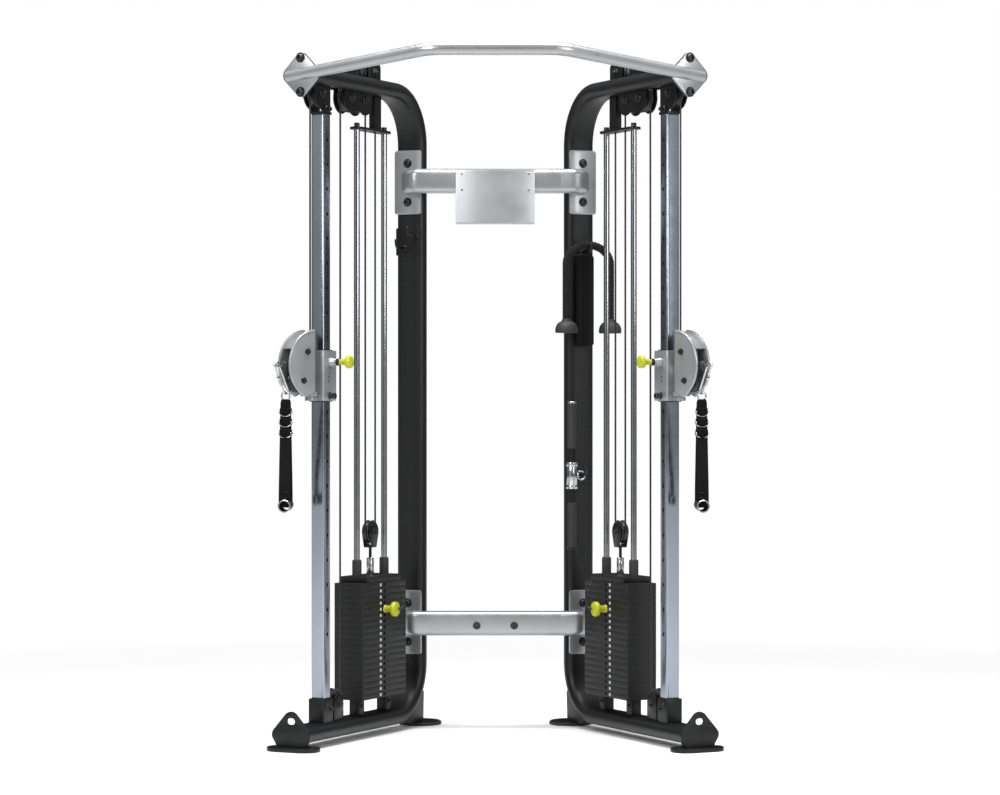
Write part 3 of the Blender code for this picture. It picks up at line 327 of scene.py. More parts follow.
def evaluated_shape(item):
    bpy.context.view_layer.update()
    mesh = bpy.data.meshes.new_from_object(item.evaluated_get(bpy.context.evaluated_depsgraph_get()))
    shape = bmesh.new()
    shape.from_mesh(mesh)
    bpy.data.meshes.remove(mesh)
    bmesh.ops.remove_doubles(shape, verts=shape.verts, dist=0.00001)
    return shape


def cut(shape, tools):
    """The shape less the tools, which are merged into one cutter."""
    body = scratch_object(shape)
    cutter = scratch_object(merge(tools))
    modifier = body.modifiers.new("cut", "BOOLEAN")
    modifier.operation = "DIFFERENCE"
    modifier.solver = "EXACT"
    modifier.use_self = True
    modifier.object = cutter
    result = evaluated_shape(body)
    for item in (body, cutter):
        bpy.data.objects.remove(item, do_unlink=True)
    return result


def scratch_object(shape):
    mesh = bpy.data.meshes.new("scratch")
    shape.to_mesh(mesh)
    shape.free()
    item = bpy.data.objects.new("scratch", mesh)
    bpy.context.scene.collection.objects.link(item)
    return item


def merge(shapes):
    merged = bmesh.new()
    for shape in shapes:
        mesh = bpy.data.meshes.new("part")
        shape.to_mesh(mesh)
        shape.free()
        merged.from_mesh(mesh)
        bpy.data.meshes.remove(mesh)
    return merged


def sweep(points, ring, side_of=None, closed=False, scale=None, relief=None):
    """A ring of (x, y) points carried along a path, with UVs in metres.

    side_of fixes the direction of the ring's x; without it the ring follows the path's turns.
    scale gives a ring's size from its share of the path, relief a point's from its distance and angle.
    """
    shape = bmesh.new()
    uv_layer = shape.loops.layers.uv.new("UVMap")
    points = [Vector(point) for point in points]
    count = len(points)
    rings = []
    distance = 0.0
    distances = []
    side = Vector(side_of) if side_of else None
    for index, point in enumerate(points):
        if index:
            distance += (point - points[index - 1]).length
        distances.append(distance)
        before = points[index - 1] if index or closed else point
        after = points[(index + 1) % count] if index < count - 1 or closed else point
        tangent = (after - before).normalized()
        if side is None:
            side = tangent.orthogonal().normalized()
        across = (Vector(side_of) if side_of else side)
        across = (across - tangent * across.dot(tangent)).normalized()
        side = across
        up = tangent.cross(across)
        size = scale(index / max(1, count - 1)) if scale else 1.0
        row = []
        for x, y in ring:
            grow = size * relief(distance, math.atan2(y, x)) if relief else size
            row.append(shape.verts.new(point + (across * x + up * y) * grow))
        rings.append(row)
    perimeter = [0.0]
    for here, after in zip(ring, ring[1:] + ring[:1]):
        perimeter.append(perimeter[-1] + math.dist(here, after))
    spans = list(zip(range(count), list(range(1, count)) + [0]))
    for low, high in spans if closed else spans[:-1]:
        start = distances[low]
        stop = distances[high] if high else distance + (points[0] - points[-1]).length
        for step in range(len(ring)):
            after = (step + 1) % len(ring)
            corners = (rings[low][step], rings[low][after], rings[high][after], rings[high][step])
            face = shape.faces.new(corners)
            places = ((perimeter[step], start), (perimeter[step + 1], start),
                      (perimeter[step + 1], stop), (perimeter[step], stop))
            for loop, place in zip(face.loops, places):
                loop[uv_layer].uv = place
    if not closed:
        shape.faces.new(list(reversed(rings[0])))
        shape.faces.new(rings[-1])
    return shape


def tube(points, radius, closed=False, steps=16):
    return sweep(points, circle((0, 0), radius, steps), closed=closed)


def smooth_path(points, per_span=8):
    """A Catmull-Rom curve through the points."""
    points = [Vector(point) for point in points]
    ends = [points[0] * 2 - points[1]] + points + [points[-1] * 2 - points[-2]]
    path = []
    for index in range(1, len(ends) - 2):
        a, b, c, d = ends[index - 1:index + 3]
        for step in range(per_span):
            s = step / per_span
            path.append(0.5 * (2 * b + (c - a) * s + (2 * a - 5 * b + 4 * c - d) * s ** 2
                               + (3 * b - a - 3 * c + d) * s ** 3))
    return path + [points[-1]]


def bent(points, radius, steps=10):
    """A path through points whose inner corners are rounded."""
    path = [Vector(points[0])]
    for before, here, after in zip(points, points[1:], points[2:]):
        here = Vector(here)
        back = (Vector(before) - here).normalized()
        ahead = (Vector(after) - here).normalized()
        reach = radius / math.tan(back.angle(ahead) / 2)
        first = here + back * reach
        last = here + ahead * reach
        for step in range(steps + 1):
            part = step / steps
            path.append(first.lerp(here, part).lerp(here.lerp(last, part), part))
    return path + [Vector(points[-1])]


def piece(name, parts, body, matrix=None, replaces=()):
    """One object from (shape, material) pairs, drawn in matrix's frame and riding on a body."""
    mesh = bpy.data.meshes.new(name)
    whole = bmesh.new()
    whole.loops.layers.uv.new("UVMap")
    materials = []
    for shape, material in parts:
        if material not in materials:
            materials.append(material)
        if matrix is not None:
            shape.transform(matrix)
            if matrix.determinant() < 0:
                bmesh.ops.reverse_faces(shape, faces=shape.faces[:])
        if "UVMap" not in shape.loops.layers.uv:
            shape.loops.layers.uv.new("UVMap")
        for face in shape.faces:
            face.material_index = materials.index(material)
        part = bpy.data.meshes.new("part")
        shape.to_mesh(part)
        shape.free()
        whole.from_mesh(part)
        bpy.data.meshes.remove(part)
    bmesh.ops.recalc_face_normals(whole, faces=whole.faces[:])
    whole.to_mesh(mesh)
    whole.free()
    for material in materials:
        mesh.materials.append(material)
    mesh.shade_smooth()
    mesh.set_sharp_from_angle(angle=math.radians(38))
    item = bpy.data.objects.new(name, mesh)
    bpy.context.scene.collection.objects.link(item)
    if isinstance(body, str):
        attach(item, body)
    else:
        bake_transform(item)
    if replaces:
        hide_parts(*replaces)
    return item


# ---------------------------------------------------------------- materials

class Nodes:
    """A short way to build one material's node tree."""

    def __init__(self, name, colour, roughness, metallic=0.0):
        self.material = bpy.data.materials.new(name)
        self.material.use_nodes = True
        self.material.diffuse_color = (*colour, 1)
        self.tree = self.material.node_tree
        self.shader = self.tree.nodes["Principled BSDF"]
        self.shader.inputs["Base Color"].default_value = (*colour, 1)
        self.shader.inputs["Roughness"].default_value = roughness
        self.shader.inputs["Metallic"].default_value = metallic
        self.colour = colour
        self.roughness = roughness

    def add(self, kind, **values):
        node = self.tree.nodes.new(kind)
        for key, value in values.items():
            if key in node.inputs:
                node.inputs[key].default_value = value
            else:
                setattr(node, key, value)
        return node

    def link(self, source, target):
        self.tree.links.new(source, target)

    def coordinates(self, stretch=(1, 1, 1), kind="Object"):
        """Texture coordinates, stretched."""
        where = self.add("ShaderNodeTexCoord")
        mapping = self.add("ShaderNodeMapping", Scale=stretch)
        self.link(where.outputs[kind], mapping.inputs["Vector"])
        return mapping.outputs["Vector"]

    def noise(self, scale, detail=2.0, stretch=(1, 1, 1), kind="Object"):
        node = self.add("ShaderNodeTexNoise", Scale=scale, Detail=detail)
        self.link(self.coordinates(stretch, kind), node.inputs["Vector"])
        return node.outputs["Fac"]

    def vary_colour(self, factor, low, high):
        """Base colour between two brightness factors of the material's colour."""
        ramp = self.add("ShaderNodeMix", data_type="RGBA")
        for socket, gain in ((ramp.inputs[6], low), (ramp.inputs[7], high)):
            socket.default_value = (*(min(1.0, gain * c) for c in self.colour), 1)
        self.link(factor, ramp.inputs[0])
        self.link(ramp.outputs[2], self.shader.inputs["Base Color"])
        return ramp

    def vary_roughness(self, factor, spread):
        span = self.add("ShaderNodeMapRange")
        span.inputs["From Min"].default_value = 0.3
        span.inputs["From Max"].default_value = 0.7
        span.inputs["To Min"].default_value = max(0.02, self.roughness - spread)
        span.inputs["To Max"].default_value = min(1.0, self.roughness + spread)
        self.link(factor, span.inputs["Value"])
        self.link(span.outputs["Result"], self.shader.inputs["Roughness"])

    def bump(self, height, distance, strength=1.0):
        node = self.add("ShaderNodeBump", Strength=strength, Distance=distance)
        self.link(height, node.inputs["Height"])
        self.link(node.outputs["Normal"], self.shader.inputs["Normal"])


def powder_coat(name, colour, roughness, metallic, grain, depth):
    """Paint with a fine orange-peel texture and slight changes of tone."""
    nodes = Nodes(name, colour, roughness, metallic)
    nodes.vary_colour(nodes.noise(9.0, 4.0), 0.82, 1.2)
    nodes.shader.inputs["Specular IOR Level"].default_value = 0.36
    fine = nodes.noise(grain, 3.0)
    nodes.vary_roughness(fine, 0.10)
    nodes.bump(fine, depth)
    return nodes.material


def metallic_paint(name, colour, roughness, metallic):
    """Silver paint: flake sparkle under a thin clear coat."""
    nodes = Nodes(name, colour, roughness, metallic)
    flake = nodes.noise(2600.0, 1.0)
    nodes.vary_colour(flake, 0.86, 1.12)
    nodes.vary_roughness(nodes.noise(14.0, 3.0), 0.05)
    nodes.bump(flake, 0.00003)
    nodes.shader.inputs["Coat Weight"].default_value = 0.35
    nodes.shader.inputs["Coat Roughness"].default_value = 0.12
    return nodes.material


def polished(name, colour, roughness):
    """Chrome with faint handling marks."""
    nodes = Nodes(name, colour, roughness, 1.0)
    nodes.vary_roughness(nodes.noise(30.0, 5.0), 0.03)
    nodes.vary_colour(nodes.noise(6.0, 2.0), 0.94, 1.04)
    return nodes.material


def brushed(name, colour, roughness, stretch):
    """Metal with fine lines along one axis."""
    nodes = Nodes(name, colour, roughness, 1.0)
    lines = nodes.noise(60.0, 4.0, stretch)
    nodes.vary_colour(lines, 0.88, 1.08)
    nodes.vary_roughness(lines, 0.09)
    nodes.bump(lines, 0.00002)
    return nodes.material


def moulded(name, colour, roughness, grain=700.0):
    """Moulded plastic or rubber: fine grain and a little wear."""
    nodes = Nodes(name, colour, roughness)
    nodes.vary_colour(nodes.noise(45.0, 4.0), 0.8, 1.25)
    nodes.vary_roughness(nodes.noise(60.0, 3.0), 0.08)
    nodes.bump(nodes.noise(grain, 2.0), 0.00006)
    return nodes.material


def woven(name, colour, pitch, roughness=0.78):
    """Webbing: ribs along the strap crossed by the picks of the weave, in UV metres."""
    nodes = Nodes(name, colour, roughness)
    heights = []
    for direction, size in (("X", pitch), ("Y", pitch * 0.6)):
        wave = nodes.add("ShaderNodeTexWave", Scale=1.0, Distortion=0.6, bands_direction=direction)
        nodes.link(nodes.coordinates((0.314 / size,) * 3, "UV"), wave.inputs["Vector"])
        heights.append(wave.outputs["Fac"])
    both = nodes.add("ShaderNodeMath", operation="MULTIPLY")
    nodes.link(heights[0], both.inputs[0])
    nodes.link(heights[1], both.inputs[1])
    nodes.vary_colour(both.outputs["Value"], 0.55, 1.9)
    nodes.bump(both.outputs["Value"], 0.0004, 0.8)
    nodes.shader.inputs["Sheen Weight"].default_value = 0.03
    nodes.shader.inputs["Specular IOR Level"].default_value = 0.12
    return nodes.material


def fibrous(name, colour):
    """Rope: fine fibres across the strands."""
    nodes = Nodes(name, colour, 0.7)
    fibres = nodes.noise(900.0, 3.0, (1, 0.25, 1), "UV")
    nodes.vary_colour(fibres, 0.5, 2.2)
    nodes.bump(fibres, 0.0003)
    nodes.shader.inputs["Sheen Weight"].default_value = 0.05
    nodes.shader.inputs["Specular IOR Level"].default_value = 0.20
    return nodes.material


def pale_floor():
    """Matt white near the object that turns to the backdrop's own white far away."""
    nodes = Nodes("floor_white", (0.92, 0.92, 0.92), 0.9)
    nodes.vary_roughness(nodes.noise(3.0, 2.0), 0.05)
    where = nodes.add("ShaderNodeTexCoord")
    length = nodes.add("ShaderNodeVectorMath", operation="LENGTH")
    nodes.link(where.outputs["Object"], length.inputs[0])
    fade = nodes.add("ShaderNodeMapRange")
    fade.inputs["From Min"].default_value = FLOOR_FADE[0]
    fade.inputs["From Max"].default_value = FLOOR_FADE[1]
    nodes.link(length.outputs["Value"], fade.inputs["Value"])
    glow = nodes.add("ShaderNodeEmission", Color=(1, 1, 1, 1), Strength=1.0)
    mix = nodes.add("ShaderNodeMixShader")
    output = nodes.tree.nodes["Material Output"]
    nodes.link(fade.outputs["Result"], mix.inputs[0])
    nodes.link(nodes.shader.outputs["BSDF"], mix.inputs[1])
    nodes.link(glow.outputs["Emission"], mix.inputs[2])
    nodes.link(mix.outputs["Shader"], output.inputs["Surface"])
    return nodes.material


BLACK = powder_coat("textured_black", (0.0045, 0.0049, 0.0056), 0.40, 0.1, 620.0, 0.00022)
SATIN_BLACK = powder_coat("satin_black", (0.0045, 0.0048, 0.0052), 0.32, 0.1, 1400.0, 0.00005)
PLATE = powder_coat("cast_charcoal", (0.011, 0.0113, 0.0123), 0.50, 0.25, 900.0, 0.00010)
SILVER = metallic_paint("silver_paint", (0.37, 0.375, 0.385), 0.32, 0.72)
GREY = metallic_paint("grey_paint", (0.33, 0.335, 0.345), 0.36, 0.6)
CHROME = polished("chrome", (0.50, 0.52, 0.55), 0.12)
STEEL = brushed("bright_steel", (0.60, 0.61, 0.62), 0.24, (1, 1, 12))
ZINC = polished("zinc_plate", (0.46, 0.46, 0.45), 0.26)
SHEET = metallic_paint("satin_sheet", (0.47, 0.48, 0.50), 0.34, 0.75)
# the column's chrome darkened and tinted blue-grey: painted shade standing in for the dark reflections the
# column shows
COLUMN_SHADED_CHROME = polished("column_chrome_painted_shade", (0.29, 0.32, 0.37), 0.20)
RODS = polished("rod_chrome", (0.42, 0.45, 0.49), 0.12)
NYLON = moulded("nylon_black", (0.013, 0.013, 0.014), 0.34)
RUBBER = moulded("rubber_black", (0.016, 0.016, 0.016), 0.66, 400.0)
BOLT_BLACK = moulded("black_oxide", (0.007, 0.007, 0.0075), 0.30, 1500.0)
CABLE = moulded("cable_coat", (0.010, 0.010, 0.010), 0.32, 1200.0)
YELLOW = moulded("yellow_knob", (0.40, 0.43, 0.012), 0.30, 500.0)
WEBBING = woven("webbing_black", (0.0035, 0.0035, 0.0038), 0.0022)
NEOPRENE = woven("neoprene_black", (0.011, 0.011, 0.012), 0.0011, 0.85)
ROPE = fibrous("rope_black", (0.005, 0.005, 0.0055))
LABEL = moulded("label_white", (0.62, 0.62, 0.61), 0.5, 2000.0)
INK = moulded("label_ink", (0.02, 0.02, 0.02), 0.6, 2000.0)
# flat black for hollows and holes: painted shade, not a colour of the machine
PAINTED_SHADE = moulded("painted_shade_black", (0.004, 0.004, 0.004), 0.8, 500.0)


# ---------------------------------------------------------------- side frames

def in_plane(points, n=0.0):
    return [(t, n, z) for t, z in points]


def frame_path():
    low_centre = (UPRIGHT_T - BEND_RADIUS, RUN_LOW_Z + BEND_RADIUS)
    top_centre = (UPRIGHT_T - BEND_RADIUS, RUN_TOP_Z - BEND_RADIUS)
    points = [(0.0, RUN_LOW_Z)] + arc(low_centre, BEND_RADIUS, -90, 0, 22)
    return in_plane(points + arc(top_centre, BEND_RADIUS, 0, 90, 22) + [(TOP_RUN_START, RUN_TOP_Z)])


def frame_tube():
    main = sweep(frame_path(), stadium(TUBE_WIDE, TUBE_THICK, 14), side_of=(0, 1, 0))
    slots = [block((0.200, 0.030, 0.200), (0.202, 0, RUN_TOP_Z), 0),
             block((0.196, 0.0302, 0.050), (0.388, 0, RUN_TOP_Z - 0.014), 0),
             block((0.018, 0.030, 0.200), (0.534, 0, RUN_TOP_Z), 0),
             block((0.110, 0.0295, 0.050), (0.494, 0, RUN_TOP_Z + 0.020), 0)]
    return cut(main, slots)


def front_foot():
    base = [(y, x) for x, y in stadium(0.173, 0.095)]
    corners = [(-0.045, 0.008, 0.012), (0.045, 0.008, 0.012), (0.072, 0.052, 0.022),
               (0.0, 0.134, 0.026), (-0.072, 0.052, 0.022)]
    hole = [(x, z + 0.0906) for x, z in stadium(0.028, 0.020)]
    gusset = sheet([rounded(corners), hole], 0.008, ACROSS_TOWER, (-0.001, 0, 0), 0.0012)
    plate = sheet([list(reversed(base))], BASE_THICK, LEVEL, (FRONT_FOOT_T, 0, BASE_THICK / 2), 0.002)
    return [(plate, BLACK), (gusset, BLACK),
            (block((0.060, 0.060, 0.020), (0.030, 0, 0.018), 0.003), BLACK)]


def rear_foot():
    low = [(0, 0), (REAR_FOOT_RADIUS - 0.002, 0), (REAR_FOOT_RADIUS, 0.002), (REAR_FOOT_RADIUS, 0.0085),
           (REAR_FOOT_RADIUS - 0.002, 0.0095), (0, 0.0095)]
    cap = [(0, 0.0095), (REAR_FOOT_RADIUS - 0.004, 0.0095), (REAR_FOOT_RADIUS - 0.006, 0.0122), (0, 0.0125)]
    leg = [(0.700, 0.030), (0.745, 0.011), (0.815, 0.011), (0.832, 0.022), (0.836, 0.110), (0.790, 0.130)]
    place = (REAR_FOOT_T, 0, 0)
    return [(lathe(low, place, steps=64), RUBBER), (lathe(cap, place, steps=64), SATIN_BLACK),
            (sheet([leg], 0.040, IN_TOWER, bevel=0.002), BLACK)]


def cheeks(outline, height, colour=None):
    """A bracket's two flat cheeks, one on each side of a pulley."""
    offset = CHEEK_OUTSIDE - CHEEK_THICK / 2
    return [(sheet([outline], CHEEK_THICK, IN_TOWER, (0, n, height), 0.0009), colour or SATIN_BLACK)
            for n in (-offset, offset)]


def bracket_outlines(side):
    """Outline and height of every pulley bracket that is part of the frame."""
    t, z = pulley_place(side, "front_pulley")
    front = arc((t, 0), 0.050, 180, 265, 20) + [(t + 0.002, -0.058), (t + 0.052, -0.058)]
    front += [(t + 0.052, 0.030), (t - 0.050, 0.030)]
    a_t, a_z = pulley_place(side, "guide_pulley_front")
    b_t, _ = pulley_place(side, "guide_pulley_rear")
    guide = arc((a_t, 0), 0.049, 185, 303, 20) + arc((b_t, 0), 0.049, 237, 355, 20)
    guide += [(b_t + 0.046, 0.030), (a_t - 0.044, 0.030)]
    u_t, u_z = pulley_place(side, "upper_pulley")
    upper = [(u_t - 0.037, -0.034), (u_t + 0.040, -0.034), (u_t + 0.040, 0.020), (u_t + 0.028, 0.033),
             (u_t - 0.037, 0.033)]
    low_t, low_z = pulley_place(side, "bottom_pulley")
    low = arc((low_t, 0), 0.030, 8, 172, 20) + [(low_t - 0.030, -0.056), (low_t + 0.030, -0.056)]
    return [(front, z), (guide, a_z), (upper, u_z), (low, low_z)]


def frame_fittings(side):
    parts = []
    for outline, height in bracket_outlines(side):
        parts += cheeks(outline, height)
    parts.append((block((0.057, 0.046, 0.008), (COLUMN_T, 0, 1.9495), 0.001), SATIN_BLACK))
    for n in (-0.0065, 0.0065):
        parts.append((block((0.110, 0.004, 0.044), (0.355, n, 2.098), 0.0015), SATIN_BLACK))
    parts.append((block((0.112, 0.016, 0.004), (0.355, 0, 2.0826), 0.001), SATIN_BLACK))
    parts.append((hanger(), SATIN_BLACK))
    parts.append((column_socket(), BLACK))
    for t in ROD_TS:
        parts.append((block((0.036, 0.036, 0.061), (t, 0, 0.0905), 0.003), BLACK))
    parts.append((diamond(TOP_RUN_START - 0.003), BLACK))
    return parts


def hanger():
    """The channel that carries the guide rods' retainer, open to the rear."""
    low = RETAINER_Z + 0.0043
    high = RUN_TOP_Z - 0.013
    outline = [(0.512, -0.010), (0.556, -0.010), (0.556, -0.007), (0.515, -0.007),
               (0.515, 0.007), (0.556, 0.007), (0.556, 0.010), (0.512, 0.010)]
    return sheet([outline], high - low, LEVEL, (0, 0, (high + low) / 2), 0.0006)


def column_socket():
    opening = rectangle(COLUMN_SIZE + 0.0006, COLUMN_SIZE + 0.0006, 0.005)
    return sheet([rectangle(0.062, 0.056, 0.006), opening], 0.079, LEVEL, (COLUMN_T, 0, 0.1055), 0.0015)


def diamond(t):
    corners = [(-0.072, 0, 0.026), (0, -0.075, 0.016), (0.072, 0, 0.026), (0, 0.075, 0.016)]
    return sheet([rounded(corners)], DIAMOND_THICK, ACROSS_TOWER, (t, 0, RUN_TOP_Z - 0.002), 0.001)


def bolt(centre, axis, radius=0.008, height=0.005, washer=True):
    """A button-head bolt, with its washer, standing on centre."""
    axis = Vector(axis)
    seat = Vector(centre)
    parts = []
    if washer:
        parts.append((rod(radius * 1.35, 0.0016, seat + axis * 0.0008, axis, 0.0004, 32), BOLT_BLACK))
        seat = seat + axis * 0.0016
    parts.append((socket_bolt(radius, height, seat, axis), BOLT_BLACK))
    return parts


def axle_bolt(seat, axis, size=1.0, reach=0.0075):
    """A flanged hexagon head with the end of its thread."""
    axis = Vector(axis)
    seat = Vector(seat)
    flange = [(0, 0), (0.0128 * size, 0), (0.0128 * size, 0.0012), (0.0112 * size, 0.0026), (0, 0.0026)]
    parts = [(lathe(flange, seat, axis), BOLT_BLACK),
             (hex_nut(0.0102 * size, reach, seat + axis * 0.0020, axis), BOLT_BLACK)]
    end = [(0, 0), (0.0054 * size, 0), (0.0054 * size, 0.0028), (0.0044 * size, 0.0036), (0, 0.0036)]
    parts.append((lathe(end, seat + axis * (0.0020 + reach), axis), BOLT_BLACK))
    return parts


def frame_bolts(side):
    """Axle bolts on both sides of each bracket, and the bolts of the foot sockets."""
    parts = []
    for name in ("front_pulley", "guide_pulley_front", "guide_pulley_rear", "upper_pulley", "bottom_pulley"):
        t, z = pulley_place(side, name)
        for way in (-1, 1):
            parts += axle_bolt((t, way * CHEEK_OUTSIDE, z), (0, way, 0))
    t, z = pulley_place(side, "front_pulley")
    parts += axle_bolt((t + 0.030, CHEEK_OUTSIDE, z - 0.046), (0, 1, 0), 0.8, 0.011)
    for t, z in ((COLUMN_T - 0.014, 0.126), (COLUMN_T + 0.018, 0.112)):
        parts += bolt((t, 0.028, z), (0, 1, 0), 0.0055, 0.004)
    for t in ROD_TS:
        parts += bolt((t, 0.018, 0.100), (0, 1, 0), 0.0055, 0.004)
    for t in (0.330, 0.560):
        parts += bolt((t, 0.0445, RUN_LOW_Z - 0.004), (0, 1, 0), 0.0055, 0.004, False)
    return parts


def make_side_frame(side):
    name = f"{side}_side_frame"
    tower = TOWER[side]
    piece(name, [(frame_tube(), BLACK)] + front_foot() + rear_foot() + frame_fittings(side), "frame", tower,
          [name])
    piece(f"{side}_frame_bolts", frame_bolts(side), "frame", tower)


# ---------------------------------------------------------------- column, carriage and pop pin

def make_column(side):
    low, high = (corner[2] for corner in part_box(f"{side}_column"))
    outer = rectangle(COLUMN_SIZE, COLUMN_SIZE, 0.006)
    inner = rectangle(COLUMN_SIZE - 0.006, COLUMN_SIZE - 0.006, 0.003)
    post = sheet([outer, inner], high - low, LEVEL, (COLUMN_T, 0, (low + high) / 2), 0.0006)
    hole_heights = [FIRST_HOLE_Z + HOLE_PITCH * index for index in range(HOLE_COUNT)]
    holes = [rod(HOLE_RADIUS, 0.020, (COLUMN_T, COLUMN_SIZE / 2, z), (0, 1, 0), 0, 20) for z in hole_heights]
    # a black block filling the column's inside: painted shade for the hollow seen through the holes
    shade_lining = block((COLUMN_SIZE - 0.0062, COLUMN_SIZE - 0.0062, high - low - 0.004),
                   (COLUMN_T, 0, (low + high) / 2), 0)
    piece(f"{side}_column", [(cut(post, holes), COLUMN_SHADED_CHROME), (shade_lining, PAINTED_SHADE)], "frame", TOWER[side],
          [f"{side}_column"])


def make_carriage(side):
    low, high = (corner[2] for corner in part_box(f"{side}_carriage"))
    middle_z = (low + high) / 2
    middle_t = (SLEEVE_FRONT_T + SLEEVE_REAR_T) / 2
    hollow = [(t + COLUMN_T - middle_t, n) for t, n in rectangle(0.0466, 0.0466, 0.004)]
    outer = rectangle(SLEEVE_REAR_T - SLEEVE_FRONT_T, 2 * SLEEVE_HALF, 0.005)
    sleeve = sheet([outer, hollow], high - low, LEVEL, (middle_t, 0, middle_z), 0.0015)
    glides = []
    for z in (low - 0.0008, high + 0.0008):
        ring = sheet([rectangle(0.056, 0.056, 0.006), rectangle(0.0462, 0.0462, 0.004)], 0.004, LEVEL,
                     (COLUMN_T, 0, z), 0.0008)
        glides.append((ring, NYLON))
    lug = rod(0.016, 0.012, (SWIVEL_T, 0, low + 0.006), Z, 0.001)
    nose = block((0.032, 0.024, 0.011), (0.130, 0, low + 0.006), 0.0008)
    barrel = [(0.0135, 0), (0.0135, 0.014), (0.0120, 0.016), (0.0120, 0.0245), (0.0112, 0.0255),
              (0.0085, 0.0255), (0.0085, 0.004), (0, 0.004)]
    parts = [(sleeve, GREY), (lug, GREY), (nose, GREY),
             (lathe([(0, 0)] + barrel, (COLUMN_T, SLEEVE_HALF - 0.001, POP_PIN_Z), (0, 1, 0)), GREY)]
    parts += glides
    parts += bolt((COLUMN_T, SLEEVE_HALF, low + 0.0155), (0, 1, 0), 0.0085, 0.006)
    nut = hex_nut(0.0105, 0.008, (COLUMN_T, SLEEVE_HALF + 0.012, low + 0.0155), (0, 1, 0))
    parts.append((nut, BOLT_BLACK))
    # two flat black discs on the sleeve's face: painted shade standing in for two small holes
    for z in (low + 0.0735, low + 0.0610):
        parts.append((rod(0.0028, 0.0012, (COLUMN_T - 0.006, SLEEVE_HALF, z), (0, 1, 0), 0.0002, 20), PAINTED_SHADE))
    piece(f"{side}_carriage", parts, f"{side}_carriage", TOWER[side], [f"{side}_carriage"])


def knob(base, neck, wide, tall):
    """A T-shaped knob's profile, upward from its base: a narrow stem and a wide thin head."""
    return [(0, base), (neck, base), (neck, base + 0.44 * tall), (0.50 * wide, base + 0.54 * tall),
            (0.94 * wide, base + 0.60 * tall), (wide, base + 0.66 * tall), (wide, base + 0.86 * tall),
            (0.94 * wide, base + 0.94 * tall), (0.60 * wide, base + tall), (0, base + tall)]


def make_pop_pin(side):
    """The shaft, its collar and the knob; the collar stops short of the barrel at the pin's low limit."""
    z = POP_PIN_Z
    shaft = lathe([(0, 0.0230), (0.0040, 0.0230), (0.0052, 0.0242), (0.0052, 0.066), (0, 0.066)],
                  (COLUMN_T, 0, z), (0, 1, 0))
    collar = lathe([(0, 0.0605), (0.0105, 0.0605), (0.0110, 0.0611), (0.0110, 0.0668), (0.0100, 0.0680),
                    (0, 0.0680)], (COLUMN_T, 0, z), (0, 1, 0))
    head = lathe(knob(0.0680, 0.0090, 0.0195, 0.0410), (COLUMN_T, 0, z), (0, 1, 0))
    piece(f"{side}_pop_pin", [(shaft, ZINC), (collar, BOLT_BLACK), (head, YELLOW)], f"{side}_pop_pin",
          TOWER[side], [f"{side}_pop_pin"])


# ---------------------------------------------------------------- pulleys

def wheel(pitch_radius, centre):
    """A grooved nylon wheel with a recessed web, and the face of its bearing."""
    rim = pitch_radius + 0.0034
    groove = pitch_radius - 0.0008
    half = PULLEY_HALF
    side_wall = [(0.0120, half), (0.0130, half - 0.0008), (0.0135, half - 0.0040),
                 (rim - 0.0110, half - 0.0040), (rim - 0.0085, half - 0.0006), (rim - 0.0010, half),
                 (rim, half - 0.0010), (rim - 0.0004, half - 0.0025)]
    bed = [(groove + 0.0034 * (1 - math.cos(math.radians(a))) - 0.0024, 0.0034 * math.sin(math.radians(a)))
           for a in (60, 30, 0)]
    upper = [(0, half)] + side_wall + bed
    profile = upper + [(radius, -height) for radius, height in reversed(upper[:-1])]
    turned = lathe(list(reversed(profile)), centre, (0, 1, 0), 56)
    bearing = lathe([(0, -half - 0.0008), (0.0095, -half - 0.0008), (0.0105, -half + 0.0004),
                     (0.0105, half - 0.0004), (0.0095, half + 0.0008), (0, half + 0.0008)], centre, (0, 1, 0))
    spacer = rod(0.0060, 2 * CHEEK_OUTSIDE - 2 * CHEEK_THICK - 0.0006, centre, (0, 1, 0))
    return [(turned, NYLON), (bearing, STEEL), (spacer, STEEL)]


def make_pulleys(side):
    rows = (("front_pulley", 0.040), ("guide_pulley_front", 0.038), ("guide_pulley_rear", 0.038),
            ("upper_pulley", 0.040), ("bottom_pulley", 0.0436), ("floating_pulley", 0.033))
    for name, pitch_radius in rows:
        t, z = pulley_place(side, name)
        piece(f"{side}_{name}", wheel(pitch_radius, (t, 0, z)), f"{side}_{name}", TOWER[side],
              [f"{side}_{name}"])


# ---------------------------------------------------------------- weight stack

STACK_TOP = STACK_LOW_Z + PLATE_PITCH * PLATE_COUNT
RESTING_COUNT = PLATE_COUNT - LIFTED_COUNT
PIN_Z = STACK_LOW_Z + PLATE_PITCH * (RESTING_COUNT + 0.5)
PIN_FACE = STACK_WIDE / 2


def stack_plate():
    """One plate, its middle at height 0, bored for the rods, the stem and the pin."""
    outline = [(t + STACK_T, n) for t, n in rectangle(STACK_LONG, STACK_WIDE, 0.004)]
    bores = [circle((t, 0), 0.0125) for t in ROD_TS] + [circle((STEM_T, 0), 0.013)]
    plate = sheet([outline] + bores, PLATE_PITCH - 0.0003, LEVEL, (0, 0, 0), 0.0004)
    return cut(plate, [rod(0.0054, 0.030, (STEM_T, PIN_FACE, 0), (0, 1, 0), 0, 24)])


